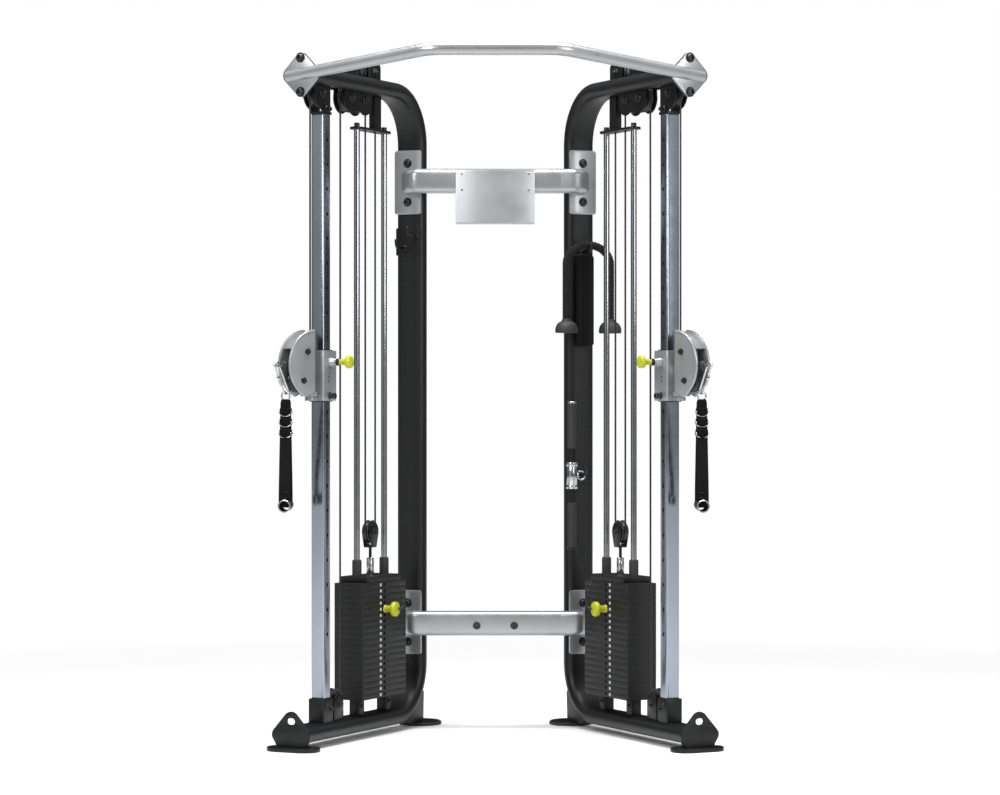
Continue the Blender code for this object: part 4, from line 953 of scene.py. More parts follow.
def digits(side, text, size, t, z):
    """Flat figures on the pin side of the stack."""
    curve = bpy.data.curves.new("figures", "FONT")
    curve.body = text
    curve.size = size
    curve.align_x = "CENTER"
    curve.align_y = "CENTER"
    curve.extrude = 0.0001
    curve.resolution_u = 3
    item = bpy.data.objects.new("figures", curve)
    bpy.context.scene.collection.objects.link(item)
    shape = evaluated_shape(item)
    bpy.data.objects.remove(item, do_unlink=True)
    bpy.data.curves.remove(curve)
    reading = 1 if TOWER[side].determinant() < 0 else -1
    shape.transform(Matrix(((reading, 0, 0, t), (0, 0, 1, PIN_FACE + 0.0009), (0, 1, 0, z), (0, 0, 0, 1))))
    return shape


def plate_pack(side, first, count, plate):
    """count plates from the first, counted from the bottom, with their labels."""
    parts = []
    for index in range(first, first + count):
        z = STACK_LOW_Z + PLATE_PITCH * (index + 0.5)
        copy = plate.copy()
        copy.transform(Matrix.Translation((0, 0, z)))
        parts.append((copy, PLATE))
        label = block((0.0100, 0.0006, 0.0084), (0.4745, PIN_FACE + 0.0004, z), 0.0002, 1)
        parts.append((label, LABEL))
        parts.append((digits(side, str(PLATE_COUNT - index), 0.0066, 0.4745, z), INK))
    return parts


def head_plate():
    outline = [(t + STACK_T, n) for t, n in rectangle(0.220, STACK_WIDE - 0.001, 0.006)]
    bores = [circle((t, 0), 0.0125) for t in ROD_TS] + [circle((STEM_T, 0), 0.013)]
    middle = STACK_TOP - PLATE_PITCH / 2
    parts = [(sheet([outline] + bores, PLATE_PITCH - 0.0004, LEVEL, (0, 0, middle), 0.0012), PLATE)]
    for t in ROD_TS:
        collar = [(0.0100, 0), (0.0150, 0), (0.0150, 0.046), (0.0140, 0.0515), (0.0118, 0.053),
                  (0.0100, 0.053), (0.0100, 0)]
        parts.append((lathe(collar, (t, 0, STACK_TOP - 0.0004), Z), RUBBER))
    return parts


def make_stack(side):
    plate = stack_plate()
    piece(f"{side}_resting_plates", plate_pack(side, 0, RESTING_COUNT, plate), "frame", TOWER[side],
          [f"{side}_resting_plates"])
    lifted = plate_pack(side, RESTING_COUNT, LIFTED_COUNT - 1, plate) + head_plate()
    piece(f"{side}_lifted_plates", lifted, f"{side}_stack", TOWER[side], [f"{side}_lifted_plates"])
    plate.free()


def make_selector(side):
    """The stem, the sleeve and nut on its top, the neck, and the floating pulley's bracket."""
    t, z = pulley_place(side, "floating_pulley")
    low = STACK_LOW_Z + 0.004
    high = STACK_TOP + 0.055
    stem = rod(STEM_RADIUS, high - low, (t, 0, (high + low) / 2), Z, 0.001)
    profile = [(0, STACK_TOP + 0.002), (0.0110, STACK_TOP + 0.002), (0.0117, STACK_TOP + 0.003),
               (0.0117, STACK_TOP + 0.044), (0.0110, STACK_TOP + 0.0455), (0, STACK_TOP + 0.0455)]
    sleeve = lathe(profile, (t, 0, 0), Z)
    neck = rod(0.0048, z - 0.050 - high, (t, 0, (z - 0.050 + high) / 2), Z, 0.0005)
    nut = hex_nut(0.0120, 0.006, (t, 0, STACK_TOP + 0.0488), Z)
    outline = arc((t, 0), 0.030, -12, 192, 26) + [(t - 0.017, -0.0490), (t + 0.017, -0.0490)]
    parts = [(stem, CHROME), (sleeve, ZINC), (neck, SATIN_BLACK), (nut, ZINC),
             (block((0.034, 0.027, 0.008), (t, 0, z - 0.0465), 0.0015), SATIN_BLACK)]
    for way in (-1, 1):
        parts.append((sheet([outline], 0.003, IN_TOWER, (0, way * 0.0130, z), 0.0009), SATIN_BLACK))
        parts += axle_bolt((t, way * 0.0145, z), (0, way, 0), 0.8, 0.0055)
    piece(f"{side}_selector_rod", parts, f"{side}_stack", TOWER[side], [f"{side}_selector_rod"])


def make_weight_pin(side):
    place = (STEM_T, 0, PIN_Z)
    shaft = lathe([(0, -0.020), (0.0030, -0.020), (0.0045, -0.017), (0.0045, PIN_FACE + 0.004),
                   (0, PIN_FACE + 0.004)], place, (0, 1, 0))
    collar = lathe([(0, PIN_FACE + 0.0008), (0.0120, PIN_FACE + 0.0008), (0.0130, PIN_FACE + 0.0018),
                    (0.0110, PIN_FACE + 0.006), (0, PIN_FACE + 0.006)], place, (0, 1, 0))
    head = lathe(knob(PIN_FACE + 0.006, 0.0110, 0.0235, 0.040), place, (0, 1, 0))
    piece(f"{side}_weight_pin", [(shaft, ZINC), (collar, YELLOW), (head, YELLOW)], f"{side}_weight_pin",
          TOWER[side], [f"{side}_weight_pin"])


LANYARD_COIL = 0.0038
LANYARD_WIRE = 0.0011
LANYARD_TURNS = 34


def lanyard_line():
    """The curly cord's middle: from the head plate's edge, down and up to the pin's knob."""
    start = Vector((0.582, 0.0590, STACK_TOP - 0.012))
    stop = Vector((STEM_T, PIN_FACE + 0.0515, PIN_Z))
    points = []
    for step in range(33):
        part = step / 32
        point = start.lerp(stop, part)
        rise = math.sin(math.pi * part)
        points.append(point + Vector((0.007, 0.012, -0.030)) * rise)
    return smooth_path(points, 16)


def coil_points():
    """The wire's own line, wound round the cord's middle line with its ends drawn in."""
    line = lanyard_line()
    points = []
    for index, point in enumerate(line):
        part = index / (len(line) - 1)
        before = line[max(0, index - 1)]
        after = line[min(len(line) - 1, index + 1)]
        tangent = (after - before).normalized()
        across = Vector((0, 1, 0))
        across = (across - tangent * across.dot(tangent)).normalized()
        up = tangent.cross(across)
        ease = min(1.0, 12 * part, 12 * (1 - part))
        angle = 2 * math.pi * LANYARD_TURNS * part
        points.append(point + (across * math.cos(angle) + up * math.sin(angle)) * LANYARD_COIL * ease)
    return points


def make_lanyard(side):
    tower = TOWER[side]
    local = coil_points()
    world = [tower @ point for point in local]
    cord = piece(f"{side}_pin_lanyard", [(tube(local, LANYARD_WIRE, steps=8), CABLE)],
                 (f"{side}_stack", f"{side}_weight_pin", tuple(world[0]), tuple(world[-1])), tower,
                 [f"{side}_pin_lanyard"])


# ---------------------------------------------------------------- guide rods

def make_guide_rods(side):
    for name in ("front", "rear"):
        node = f"{side}_guide_rod_{name}"
        low, high = (Vector(corner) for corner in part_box(node))
        middle = (low + high) / 2
        piece(node, [(rod(ROD_RADIUS, high.z - low.z, middle, Z, 0.001, 48), RODS)], "frame", None, [node])


def make_retainer(side):
    """The slotted plate that holds the guide rods' tops, with a washer and a bolt over each."""
    outline = [(x + 0.5033, y) for x, y in stadium(0.2254, 0.044)]
    slots = [[(x + t, y) for x, y in stadium(0.0144, 0.014)] for t in (0.469, 0.534)]
    parts = [(sheet([outline] + slots, 0.008, LEVEL, (0, 0, RETAINER_Z), 0.001), SATIN_BLACK)]
    for t in ROD_TS:
        parts.append((rod(0.0115, 0.0014, (t, 0, RETAINER_Z + 0.0047), Z, 0.0004), BOLT_BLACK))
        head = [(0, 0), (0.0088, 0), (0.0088, 0.0105), (0.0078, 0.0118), (0.0050, 0.0118),
                (0.0046, 0.0060), (0, 0.0060)]
        parts.append((lathe(head, (t, 0, RETAINER_Z + 0.0054), Z), BOLT_BLACK))
    piece(f"{side}_rod_retainer", parts, "frame", TOWER[side], [f"{side}_rod_retainer"])


# ---------------------------------------------------------------- swivel

UPPER_SHEAVE = (0.034, 1.2125, 0.034)
LOWER_SHEAVE = (0.050, 1.124, 0.0335)


def make_swivel(side):
    """Two round cheeks, the web over their top front, the pivot blocks and the bolts."""
    outline = arc((HOUSING_EDGE_P, 0), HOUSING_RADIUS, -68, 90, 48) + [(HOUSING_EDGE_P, -0.082)]
    parts = []
    for way in (-1, 1):
        offset = way * (HOUSING_HALF - 0.003)
        parts.append((sheet([outline], 0.006, IN_TOWER, (0, offset, HOUSING_Z), 0.0018), GREY))
        rim = [(p, 0, z + HOUSING_Z)
               for p, z in arc((HOUSING_EDGE_P, 0), HOUSING_RADIUS - 0.0035, -66, 88, 48)]
        raised = [(p, n + way * (HOUSING_HALF - 0.001), z) for p, n, z in rim]
        parts.append((tube(raised, 0.0030, steps=10), GREY))
        for p, z in ((UPPER_SHEAVE[0], UPPER_SHEAVE[1]), (LOWER_SHEAVE[0], LOWER_SHEAVE[1])):
            parts += axle_bolt((p, way * HOUSING_HALF, z), (0, way, 0), 0.82, 0.0055)
            boss = lathe([(0, 0), (0.0075, 0), (0.0075, 0.0085), (0, 0.0085)],
                         (p, way * (HOUSING_HALF - 0.0060), z), (0, -way, 0))
            parts.append((boss, STEEL))
    sector = arc((HOUSING_EDGE_P, 0), 0.104, 28, 78, 24) + arc((HOUSING_EDGE_P, 0), 0.097, 78, 28, 24)
    parts.append((sheet([sector], 2 * HOUSING_HALF - 0.004, IN_TOWER, (0, 0, HOUSING_Z), 0.001), GREY))
    parts.append((block((0.029, 0.047, 0.0146), (0.0055, 0, 1.083), 0.0015), GREY))
    parts.append((lathe([(0, 0), (0.008, 0), (0.008, 0.0200), (0.0065, 0.0215), (0, 0.0215)],
                        (0, 0, 1.0625), Z), STEEL))
    piece(f"{side}_swivel_housing", parts, f"{side}_swivel", ARM[side], [f"{side}_swivel_housing"])
    for name, (p, z, radius) in (("upper", UPPER_SHEAVE), ("lower", LOWER_SHEAVE)):
        node = f"{side}_swivel_pulley_{name}"
        piece(node, wheel(radius, (p, 0, z)), node, ARM[side], [node])


def make_cable_end(side):
    """The rubber stop ball, the crimped sleeve and the fork with its pin."""
    ball = [(0, -0.0140)] + [(0.0140 * math.cos(math.radians(a)), 0.0140 * math.sin(math.radians(a)))
                             for a in range(-75, 90, 15)] + [(0, 0.0140)]
    sleeve = [(0, 0.006), (0.0058, 0.006), (0.0066, 0.0125), (0.0066, 0.0170), (0.0054, 0.0185), (0, 0.0185)]
    seam = lathe([(0.0139, -0.0008), (0.0143, -0.0004), (0.0143, 0.0004), (0.0139, 0.0008),
                  (0.0139, -0.0008)], (BALL_P, 0, EXIT_Z - 0.003), (1, 0, 0))
    outline = arc((HOOK_TOP_P - 0.0005, 0), 0.0062, -90, 90, 12) + [(0.119, 0.0062), (0.119, -0.0062)]
    parts = [(lathe(ball, (BALL_P, 0, EXIT_Z - 0.003), (1, 0, 0)), RUBBER), (seam, RUBBER),
             (lathe(sleeve, (BALL_P, 0, EXIT_Z - 0.003), (1, 0, 0)), ZINC)]
    for way in (-1, 1):
        parts.append((sheet([outline], 0.0020, IN_TOWER, (0, way * 0.0046, EXIT_Z - 0.003), 0.0004), ZINC))
        parts.append((rod(0.0044, 0.0016, (HOOK_TOP_P, way * 0.0062, EXIT_Z - 0.003), (0, 1, 0), 0.0004, 24),
                      ZINC))
    parts.append((block((0.006, 0.0112, 0.0110), (0.1205, 0, EXIT_Z - 0.003), 0.001), ZINC))
    parts.append((rod(0.0028, 0.0110, (HOOK_TOP_P, 0, EXIT_Z - 0.003), (0, 1, 0), 0.0002, 24), ZINC))
    piece(f"{side}_cable_end", parts, f"{side}_cable_end", ARM[side], [f"{side}_cable_end"])


def hook_loop():
    """The snap hook's closed line, from (p, z) of its top bend to its bottom bend."""
    top = Vector((HOOK_TOP_P, EXIT_Z - 0.003))
    low = Vector((HANDLE_P, HANDLE_TOP_Z))
    down = (low - top).normalized()
    side_way = Vector((-down.y, down.x))
    points = []
    for centre, start in ((low, 0), (top, 180)):
        for step in range(17):
            angle = math.radians(start + 180 * step / 16)
            wide = HOOK_HALF if centre is low else HOOK_HALF * 0.92
            place = centre + side_way * wide * math.cos(angle) + down * wide * math.sin(angle)
            points.append((place.x, 0, place.y))
    return points


def make_snap_hook(side):
    points = hook_loop()
    body = tube(points, 0.0032, closed=True, steps=14)
    right = Vector(points[0])
    above = Vector(points[-1])
    along = (above - right).normalized()
    middle = (above + right) / 2
    sleeve = lathe([(0, -0.021), (0.0036, -0.021), (0.0046, -0.020), (0.0046, -0.004), (0.0042, -0.003),
                    (0.0042, 0.001), (0.0046, 0.002), (0.0046, 0.013), (0.0038, 0.0145), (0, 0.0145)],
                   middle, along)
    ring = [(0.0047, -0.0035), (0.0052, -0.003), (0.0052, 0.000), (0.0047, 0.0005), (0.0047, -0.0035)]
    parts = [(body, STEEL), (sleeve, ZINC), (lathe(ring, middle + along * 0.009, along), BOLT_BLACK)]
    piece(f"{side}_snap_hook", parts, f"{side}_carabiner", ARM[side], [f"{side}_carabiner"])


RING_Z = HANDLE_TOP_Z - HOOK_HALF + 0.0032 + 0.0025 + 0.0010 - 0.0135
STRAP_TOP_Z = RING_Z - 0.0135 + 0.004
RING_TURN = {"left": 21.75, "right": -18.0}
LOOP_HEIGHTS = (1.0305, 0.9985, 0.9655)


def strap_line():
    """The webbing's middle line, in (across, z): over the ring and down both sides to the grip."""
    half = [(0.0585, GRIP_Z - 0.004), (0.0585, GRIP_Z + 0.060), (0.040, GRIP_Z + 0.160),
            (0.0150, STRAP_TOP_Z - 0.050), (0.0085, STRAP_TOP_Z - 0.012)]
    over = arc((0, STRAP_TOP_Z - 0.0085), 0.0075, 0, 180, 8)
    return half + over + [(-x, z) for x, z in reversed(half)]


def belt_scale(part):
    """The webbing is narrow where it passes over the ring and widest at the grip."""
    return 0.82 + 0.34 * min(1.0, abs(part - 0.5) * 2.0)


def make_handle(side):
    """Webbing folded over a ring, with three sewn loops and D-rings a side, and a hollow grip."""
    grip_centre = ARM[side] @ Vector((HANDLE_P, 0, 0))
    upright = Matrix.Translation(grip_centre) @ Matrix.Rotation(math.radians(90), 4, "Z")
    turn = math.radians(RING_TURN[side])
    ring = [(0.0135 * math.cos(a), RING_Z + 0.0135 * math.sin(a))
            for a in (2 * math.pi * step / 32 for step in range(32))]
    parts = [(tube([(-x * math.sin(turn), -x * math.cos(turn), z) for x, z in ring], 0.0025, closed=True,
                   steps=12), ZINC)]
    belt = [(-0.0150, -0.0011), (-0.0144, -0.0016), (0.0144, -0.0016), (0.0150, -0.0011), (0.0150, 0.0011),
            (0.0144, 0.0016), (-0.0144, 0.0016), (-0.0150, 0.0011)]
    line = smooth_path([(x, 0, z) for x, z in strap_line()], 6)
    parts.append((sweep(line, belt, side_of=(0, 1, 0), scale=belt_scale), WEBBING))
    for way in (-1, 1):
        for z in LOOP_HEIGHTS:
            down = (STRAP_TOP_Z - 0.050 - z) / (STRAP_TOP_Z - 0.050 - GRIP_Z - 0.160)
            middle = 0.0150 + (0.040 - 0.0150) * down
            out = way * (max(middle, 0.0110) + 0.0036)
            half = [(0.0160, 0.000), (0.0168, -0.006), (0.0120, -0.0125), (0.0, -0.0155)]
            loop = half + [(-x, y) for x, y in reversed(half[:-1])]
            parts.append((tube(bent_loop([(out, x, z + y) for x, y in loop]), 0.0017, closed=True, steps=10),
                          STEEL))
            parts.append((block((0.0075, 0.0350, 0.0205), (out - way * 0.0002, 0, z), 0.0034, 3), WEBBING))
        tab = block((0.0065, 0.0300, 0.034), (way * 0.0585, 0, GRIP_Z + 0.034), 0.0012)
        parts.append((tab, WEBBING))
        rim = [(0.0152, 0), (0.0180, 0), (0.0195, 0.0012), (0.0195, 0.0055), (0.0180, 0.0070),
               (0.0152, 0.0070), (0.0152, 0)]
        parts.append((lathe(rim, (way * 0.0640, 0, GRIP_Z), (way, 0, 0)), ZINC))
        for z in (GRIP_Z + 0.026, GRIP_Z + 0.042):
            parts.append((block((0.0072, 0.0240, 0.0012), (way * 0.0585, 0, z), 0.0004, 1), CABLE))
    ribs = [(0.0150, -0.0645)]
    for index in range(43):
        ribs.append((0.0163 if index % 2 else 0.0172, -0.0635 + 0.127 * index / 42))
    ribs += [(0.0150, 0.0645), (0.0150, -0.0645)]
    parts.append((lathe(ribs, (0, 0, GRIP_Z), (1, 0, 0)), RUBBER))
    parts.append((block((0.1300, 0.0240, 0.0034), (0, 0, GRIP_Z + 0.0085), 0.0012), WEBBING))
    piece(f"{side}_strap_handle", parts, f"{side}_strap_handle", upright, [f"{side}_strap_handle"])


def bent_loop(points):
    """A closed loop through the points, smoothed."""
    wrapped = [points[-1]] + list(points) + [points[0], points[1]]
    path = []
    for index in range(1, len(points) + 1):
        a, b, c, d = (Vector(point) for point in wrapped[index - 1:index + 3])
        for step in range(4):
            s = step / 4
            path.append(0.5 * (2 * b + (c - a) * s + (2 * a - 5 * b + 4 * c - d) * s ** 2
                               + (3 * b - a - 3 * c + d) * s ** 3))
    return path


# ---------------------------------------------------------------- cable

def cable_piece(name, points, body, matrix):
    return piece(name, [(tube(points, CABLE_RADIUS, steps=14), CABLE)], body, matrix)


def tower_arc(side, name, radius, start, stop):
    t, z = pulley_place(side, name)
    steps = max(6, int(abs(stop - start) / 6))
    return in_plane(arc((t, z), radius, start, stop, steps))


def make_cable(side):
    tower = TOWER[side]
    arm = ARM[side]
    stack = f"{side}_stack"
    carriage = f"{side}_carriage"
    _, z_front = pulley_place(side, "front_pulley")
    t_upper, z_upper = pulley_place(side, "upper_pulley")
    t_float, z_float = pulley_place(side, "floating_pulley")
    _, z_guide = pulley_place(side, "guide_pulley_rear")
    t_low, z_low = pulley_place(side, "bottom_pulley")
    bottom_radius = 0.0436
    p, z, radius = UPPER_SHEAVE

    # out of the swivel: round its upper sheave, then the stretch that pays out with the handle
    sheave = [(x, 0, y) for x, y in arc((p, z), radius, -80, -180, 16)]
    cable_piece(f"{side}_cable_swivel", [(0.0635, 0, 1.1757)] + sheave, f"{side}_swivel", arm)
    first, last = Vector((0.0630, 0, 1.1757)), Vector((BALL_P - 0.012, 0, EXIT_Z - 0.003))
    cable_piece(f"{side}_cable_handle", [first, last],
                (f"{side}_swivel", f"{side}_cable_end", tuple(arm @ first), tuple(arm @ last)), arm)

    runs = ((carriage, "frame", (SWIVEL_T, z + 0.0005), (SWIVEL_T, z_front), "column"),
            ("frame", stack, (t_upper + 0.040, z_upper), (t_float + 0.033, z_float), "drop"),
            (stack, "frame", (t_float - 0.033, z_float), (t_float - 0.033, z_guide), "rise"),
            ("frame", carriage, (t_low - bottom_radius, z_low), (t_low - bottom_radius, 1.0625), "return"))
    for start_body, end_body, start, end, label in runs:
        points = [Vector((start[0], 0, start[1])), Vector((end[0], 0, end[1]))]
        cable_piece(f"{side}_cable_{label}", points,
                    (start_body, end_body, tuple(tower @ points[0]), tuple(tower @ points[1])), tower)

    top = tower_arc(side, "front_pulley", 0.040, 180, 107) + tower_arc(side, "upper_pulley", 0.040, 107, 0)
    cable_piece(f"{side}_cable_top", top, "frame", tower)
    cable_piece(f"{side}_cable_floating", tower_arc(side, "floating_pulley", 0.033, 0, -180), stack, tower)
    guide = tower_arc(side, "guide_pulley_rear", 0.038, 0, 90)
    guide += tower_arc(side, "guide_pulley_front", 0.038, 90, 180)
    guide += tower_arc(side, "bottom_pulley", bottom_radius, 0, -180)
    fixed = cable_piece(f"{side}_cable_frame", guide, "frame", tower)
    ferrule = lathe([(0, 0), (0.0055, 0), (0.0065, 0.0015), (0.0065, 0.017), (0.0050, 0.0185), (0, 0.0185)],
                    (t_low - bottom_radius, 0, 1.0435), Z)
    piece(f"{side}_cable_ferrule", [(ferrule, ZINC)], carriage, tower)
    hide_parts(f"{side}_cable")


# ---------------------------------------------------------------- pieces shared by both towers

BAR_RADIUS = 0.019
UPPER_CROSS_Z = 1.773
LOWER_CROSS_Z = 0.341
BAR_BENDS_X = 0.198


def plane_cut(matrix, t, n_wide=0.9):
    """A cutter behind the plane t of a tower's frame, in world metres."""
    shape = block((0.400, n_wide, 0.400), (t + 0.200, 0, 0), 0)
    shape.transform(matrix)
    return shape


def make_pull_up_bar():
    low, high = (Vector(corner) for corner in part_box("pull_up_bar"))
    bar_z = high.z - BAR_RADIUS
    bar_y = low.y + BAR_RADIUS
    bends = [Vector((-BAR_BENDS_X, bar_y, bar_z)), Vector((BAR_BENDS_X, bar_y, bar_z))]
    plate_t = TOP_RUN_START - 0.003 - DIAMOND_THICK - 0.0003
    ends = []
    cutters = []
    for side, bend in zip(SIDES, bends):
        end = TOWER[side] @ Vector((TOP_RUN_START - 0.010, 0, RUN_TOP_Z))
        ends.append(end + (end - bend).normalized() * 0.050)
        cutters.append(plane_cut(TOWER[side] @ Matrix.Translation((0, 0, RUN_TOP_Z)), plate_t - 0.0012))
    bar = sweep(bent([ends[0], *bends, ends[1]], 0.12, 20), circle((0, 0), BAR_RADIUS, 40))
    parts = [(cut(bar, cutters), SILVER)]
    for side in SIDES:
        plate = diamond(plate_t)
        plate.transform(TOWER[side])
        parts.append((plate, SILVER))
    piece("pull_up_bar", parts, "frame", None, ["pull_up_bar"])
    for side in SIDES:
        bolts = []
        for z in (RUN_TOP_Z + 0.0505, RUN_TOP_Z - 0.0545):
            bolts += bolt((plate_t - DIAMOND_THICK / 2, 0, z), (-1, 0, 0), 0.0115, 0.0085)
            bolts.append((hex_nut(0.0105, 0.008, (TOP_RUN_START + 0.001, 0, z), (1, 0, 0)), BOLT_BLACK))
        piece(f"{side}_bar_bolts", bolts, "frame", TOWER[side])


def cross_path(height):
    ends = []
    for side in SIDES:
        face = UPRIGHT_FACE - 0.008
        ends.append((TOWER[side] @ Vector((face - 0.002, 0, height)),
                     TOWER[side] @ Vector((face - 0.055, 0.040, height))))
    left, right = ends
    bend_y = (TOWER["left"] @ Vector((UPRIGHT_FACE - 0.055, 0.040, 0))).y
    return [left[0], left[1], Vector((left[1].x + 0.060, bend_y, height)),
            Vector((right[1].x - 0.060, bend_y, height)), right[1], right[0]]


def make_cross_member(name, height):
    cutters = [plane_cut(TOWER[side] @ Matrix.Translation((0, 0, height)), UPRIGHT_FACE - 0.0045, 0.3)
               for side in SIDES]
    beam = sweep(bent(cross_path(height), 0.030, 10), stadium(0.080, 0.040, 14), side_of=(0, 0, 1))
    parts = [(cut(beam, cutters), SILVER)]
    for side in SIDES:
        face = sheet([[(n, z + height) for n, z in rectangle(0.096, 0.208, 0.009)]], 0.008, ACROSS_TOWER,
                     (UPRIGHT_FACE - 0.0003 - 0.004, 0, 0), 0.001)
        face.transform(TOWER[side])
        parts.append((face, SILVER))
    piece(name, parts, "frame", None, [name])
    for side in SIDES:
        bolts = []
        for z in (height + 0.062, height - 0.064):
            bolts += bolt((UPRIGHT_FACE - 0.0083, 0.0, z), (-1, 0, 0), 0.0110, 0.0085)
        piece(f"{side}_{name}_bolts", bolts, "frame", TOWER[side])


def make_placard():
    low, high = (Vector(corner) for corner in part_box("placard"))
    outline = rectangle(high.x - low.x, high.z - low.z - 0.001, 0.006)
    stand = Matrix.Rotation(math.radians(90), 4, "X")
    face = sheet([outline], 0.002, LEVEL, (0, 0, 0), 0.0006)
    face.transform(Matrix.Translation(((low.x + high.x) / 2, low.y + 0.001, (low.z + high.z) / 2)) @ stand)
    fold = block((high.x - low.x - 0.004, high.y - low.y - 0.001, 0.002),
                 (0, (low.y + high.y) / 2, low.z + 0.001), 0.0007)
    roll = rod(0.0018, high.x - low.x - 0.006, (0, low.y + 0.0020, low.z + 0.0020), (1, 0, 0), 0.0004, 16)
    parts = [(face, SHEET), (fold, SHEET), (roll, SHEET)]
    for x in (-0.108, 0.108):
        for z in (high.z - 0.014, high.z - 0.066):
            parts.append((rod(0.0036, 0.0016, (x, low.y - 0.0004, z), (0, 1, 0), 0.0006, 20), ZINC))
    piece("placard", parts, "frame", None, ["placard"])


def make_cross_caps():
    """Two rubber caps on the lower cross member's front."""
    front = cross_path(LOWER_CROSS_Z)[2].y - 0.020
    parts = []
    for x in (-0.060, 0.061):
        cap = lathe([(0, 0), (0.0122, 0), (0.0125, 0.0020), (0.0112, 0.0042), (0.0060, 0.0052), (0, 0.0052)],
                    (x, front + 0.0002, LOWER_CROSS_Z - 0.006), (0, -1, 0))
        parts.append((cap, RUBBER))
    piece("cross_member_caps", parts, "frame", None)


# ---------------------------------------------------------------- accessories on the right upright

def make_hooks(side, name, rows):
    low = min(z for _, z in rows) - 0.025
    high = max(z for _, z in rows) + 0.025
    wide = 2 * max(abs(n) for n, _ in rows) + 0.030
    face = UPRIGHT_FACE - 0.0003
    strip = sheet([[(n, z + (high + low) / 2) for n, z in rectangle(wide, high - low, 0.005)]], 0.004,
                  ACROSS_TOWER, (face - 0.002, 0, 0), 0.0008)
    parts = [(strip, SATIN_BLACK)]
    for n, z in rows:
        root = Vector((face - 0.002, n, z))
        tip = root + Vector((-0.060, 0, 0))
        peg = bent([root, tip, tip + Vector((-0.004, 0, 0.022))], 0.010, 8)
        parts.append((tube(peg, 0.005, steps=20), SATIN_BLACK))
        parts.append((lathe([(0, 0), (0.0088, 0), (0.0078, 0.0020), (0.0052, 0.0042), (0, 0.0042)],
                            (face - 0.0038, n, z), (-1, 0, 0)), SATIN_BLACK))
        ball = [(0, -0.0052)] + [(0.0054 * math.cos(math.radians(a)), 0.0054 * math.sin(math.radians(a)))
                                 for a in range(-70, 90, 20)] + [(0, 0.0054)]
        parts.append((lathe(ball, tip + Vector((-0.004, 0, 0.0215)), Z), SATIN_BLACK))
    piece(name, parts, "frame", TOWER[side], [name])


def make_all_hooks():
    make_hooks("right", "right_accessory_hooks", [(0, 1.547)])
    make_hooks("left", "left_accessory_hooks", [(0.030, 1.600), (-0.012, 1.560)])
    make_hooks("right", "straight_bar_hook", [(0.019, 0.8242)])


ROPE_T = UPRIGHT_FACE - 0.046
ROPE_TOP_Z = 1.567
ROPE_REACH = 0.080
ROPE_DROP = 0.246
ROPE_RADIUS = 0.0125
ROPE_PITCH = 0.012
ROPE_STRANDS = 8


def rope_line():
    """The rope's middle line, from one stop over the peg to the other."""
    arch = []
    for step in range(25):
        angle = math.pi * step / 24
        arch.append((ROPE_T, -ROPE_REACH * math.cos(angle), ROPE_TOP_Z - 0.062 + 0.062 * math.sin(angle)))
    legs = [ROPE_TOP_Z - ROPE_DROP + (ROPE_DROP - 0.062) * step / 12 for step in range(12)]
    line = [(ROPE_T, -ROPE_REACH, z) for z in legs] + arch
    line += [(ROPE_T, ROPE_REACH, z) for z in reversed(legs)]
    return smooth_path(line, 6)


def evenly(line, gap):
    """The line again, with points gap apart."""
    points = [line[0].copy()]
    left = gap
    for here, after in zip(line, line[1:]):
        span = (after - here).length
        at = left
        while at <= span:
            points.append(here.lerp(after, at / span))
            at += gap
        left = at - span
    return points


def braid_relief(distance, angle):
    """The braid's pillows: strands crossing round the rope, in proportion to its radius."""
    round_it = ROPE_STRANDS * angle / (2 * math.pi)
    one = abs(math.sin(math.pi * (round_it + distance / ROPE_PITCH)))
    other = abs(math.sin(math.pi * (round_it - distance / ROPE_PITCH)))
    return 0.80 + 0.30 * (one * other) ** 0.60


def make_triceps_rope():
    tower = TOWER["right"]
    line = evenly(rope_line(), 0.0012)
    shape = sweep(line, circle((0, 0), ROPE_RADIUS, 56), side_of=(1, 0, 0), relief=braid_relief)
    rope = piece("triceps_rope", [(shape, ROPE)], "frame", tower, ["triceps_rope"])
    parts = []
    for n in (-ROPE_REACH, ROPE_REACH):
        base = ROPE_TOP_Z - 0.286
        stop = [(0, 0), (0.0330, 0), (0.0362, 0.0015), (0.0370, 0.0040), (0.0366, 0.0130), (0.0345, 0.0220),
                (0.0290, 0.0310), (0.0215, 0.0365), (0.0160, 0.0385), (0.0148, 0.0440), (0.0140, 0.0455),
                (0, 0.0455)]
        parts.append((lathe(stop, (ROPE_T, n, base), Z, 48), RUBBER))
    stops = piece("triceps_rope_stops", parts, "frame", tower)


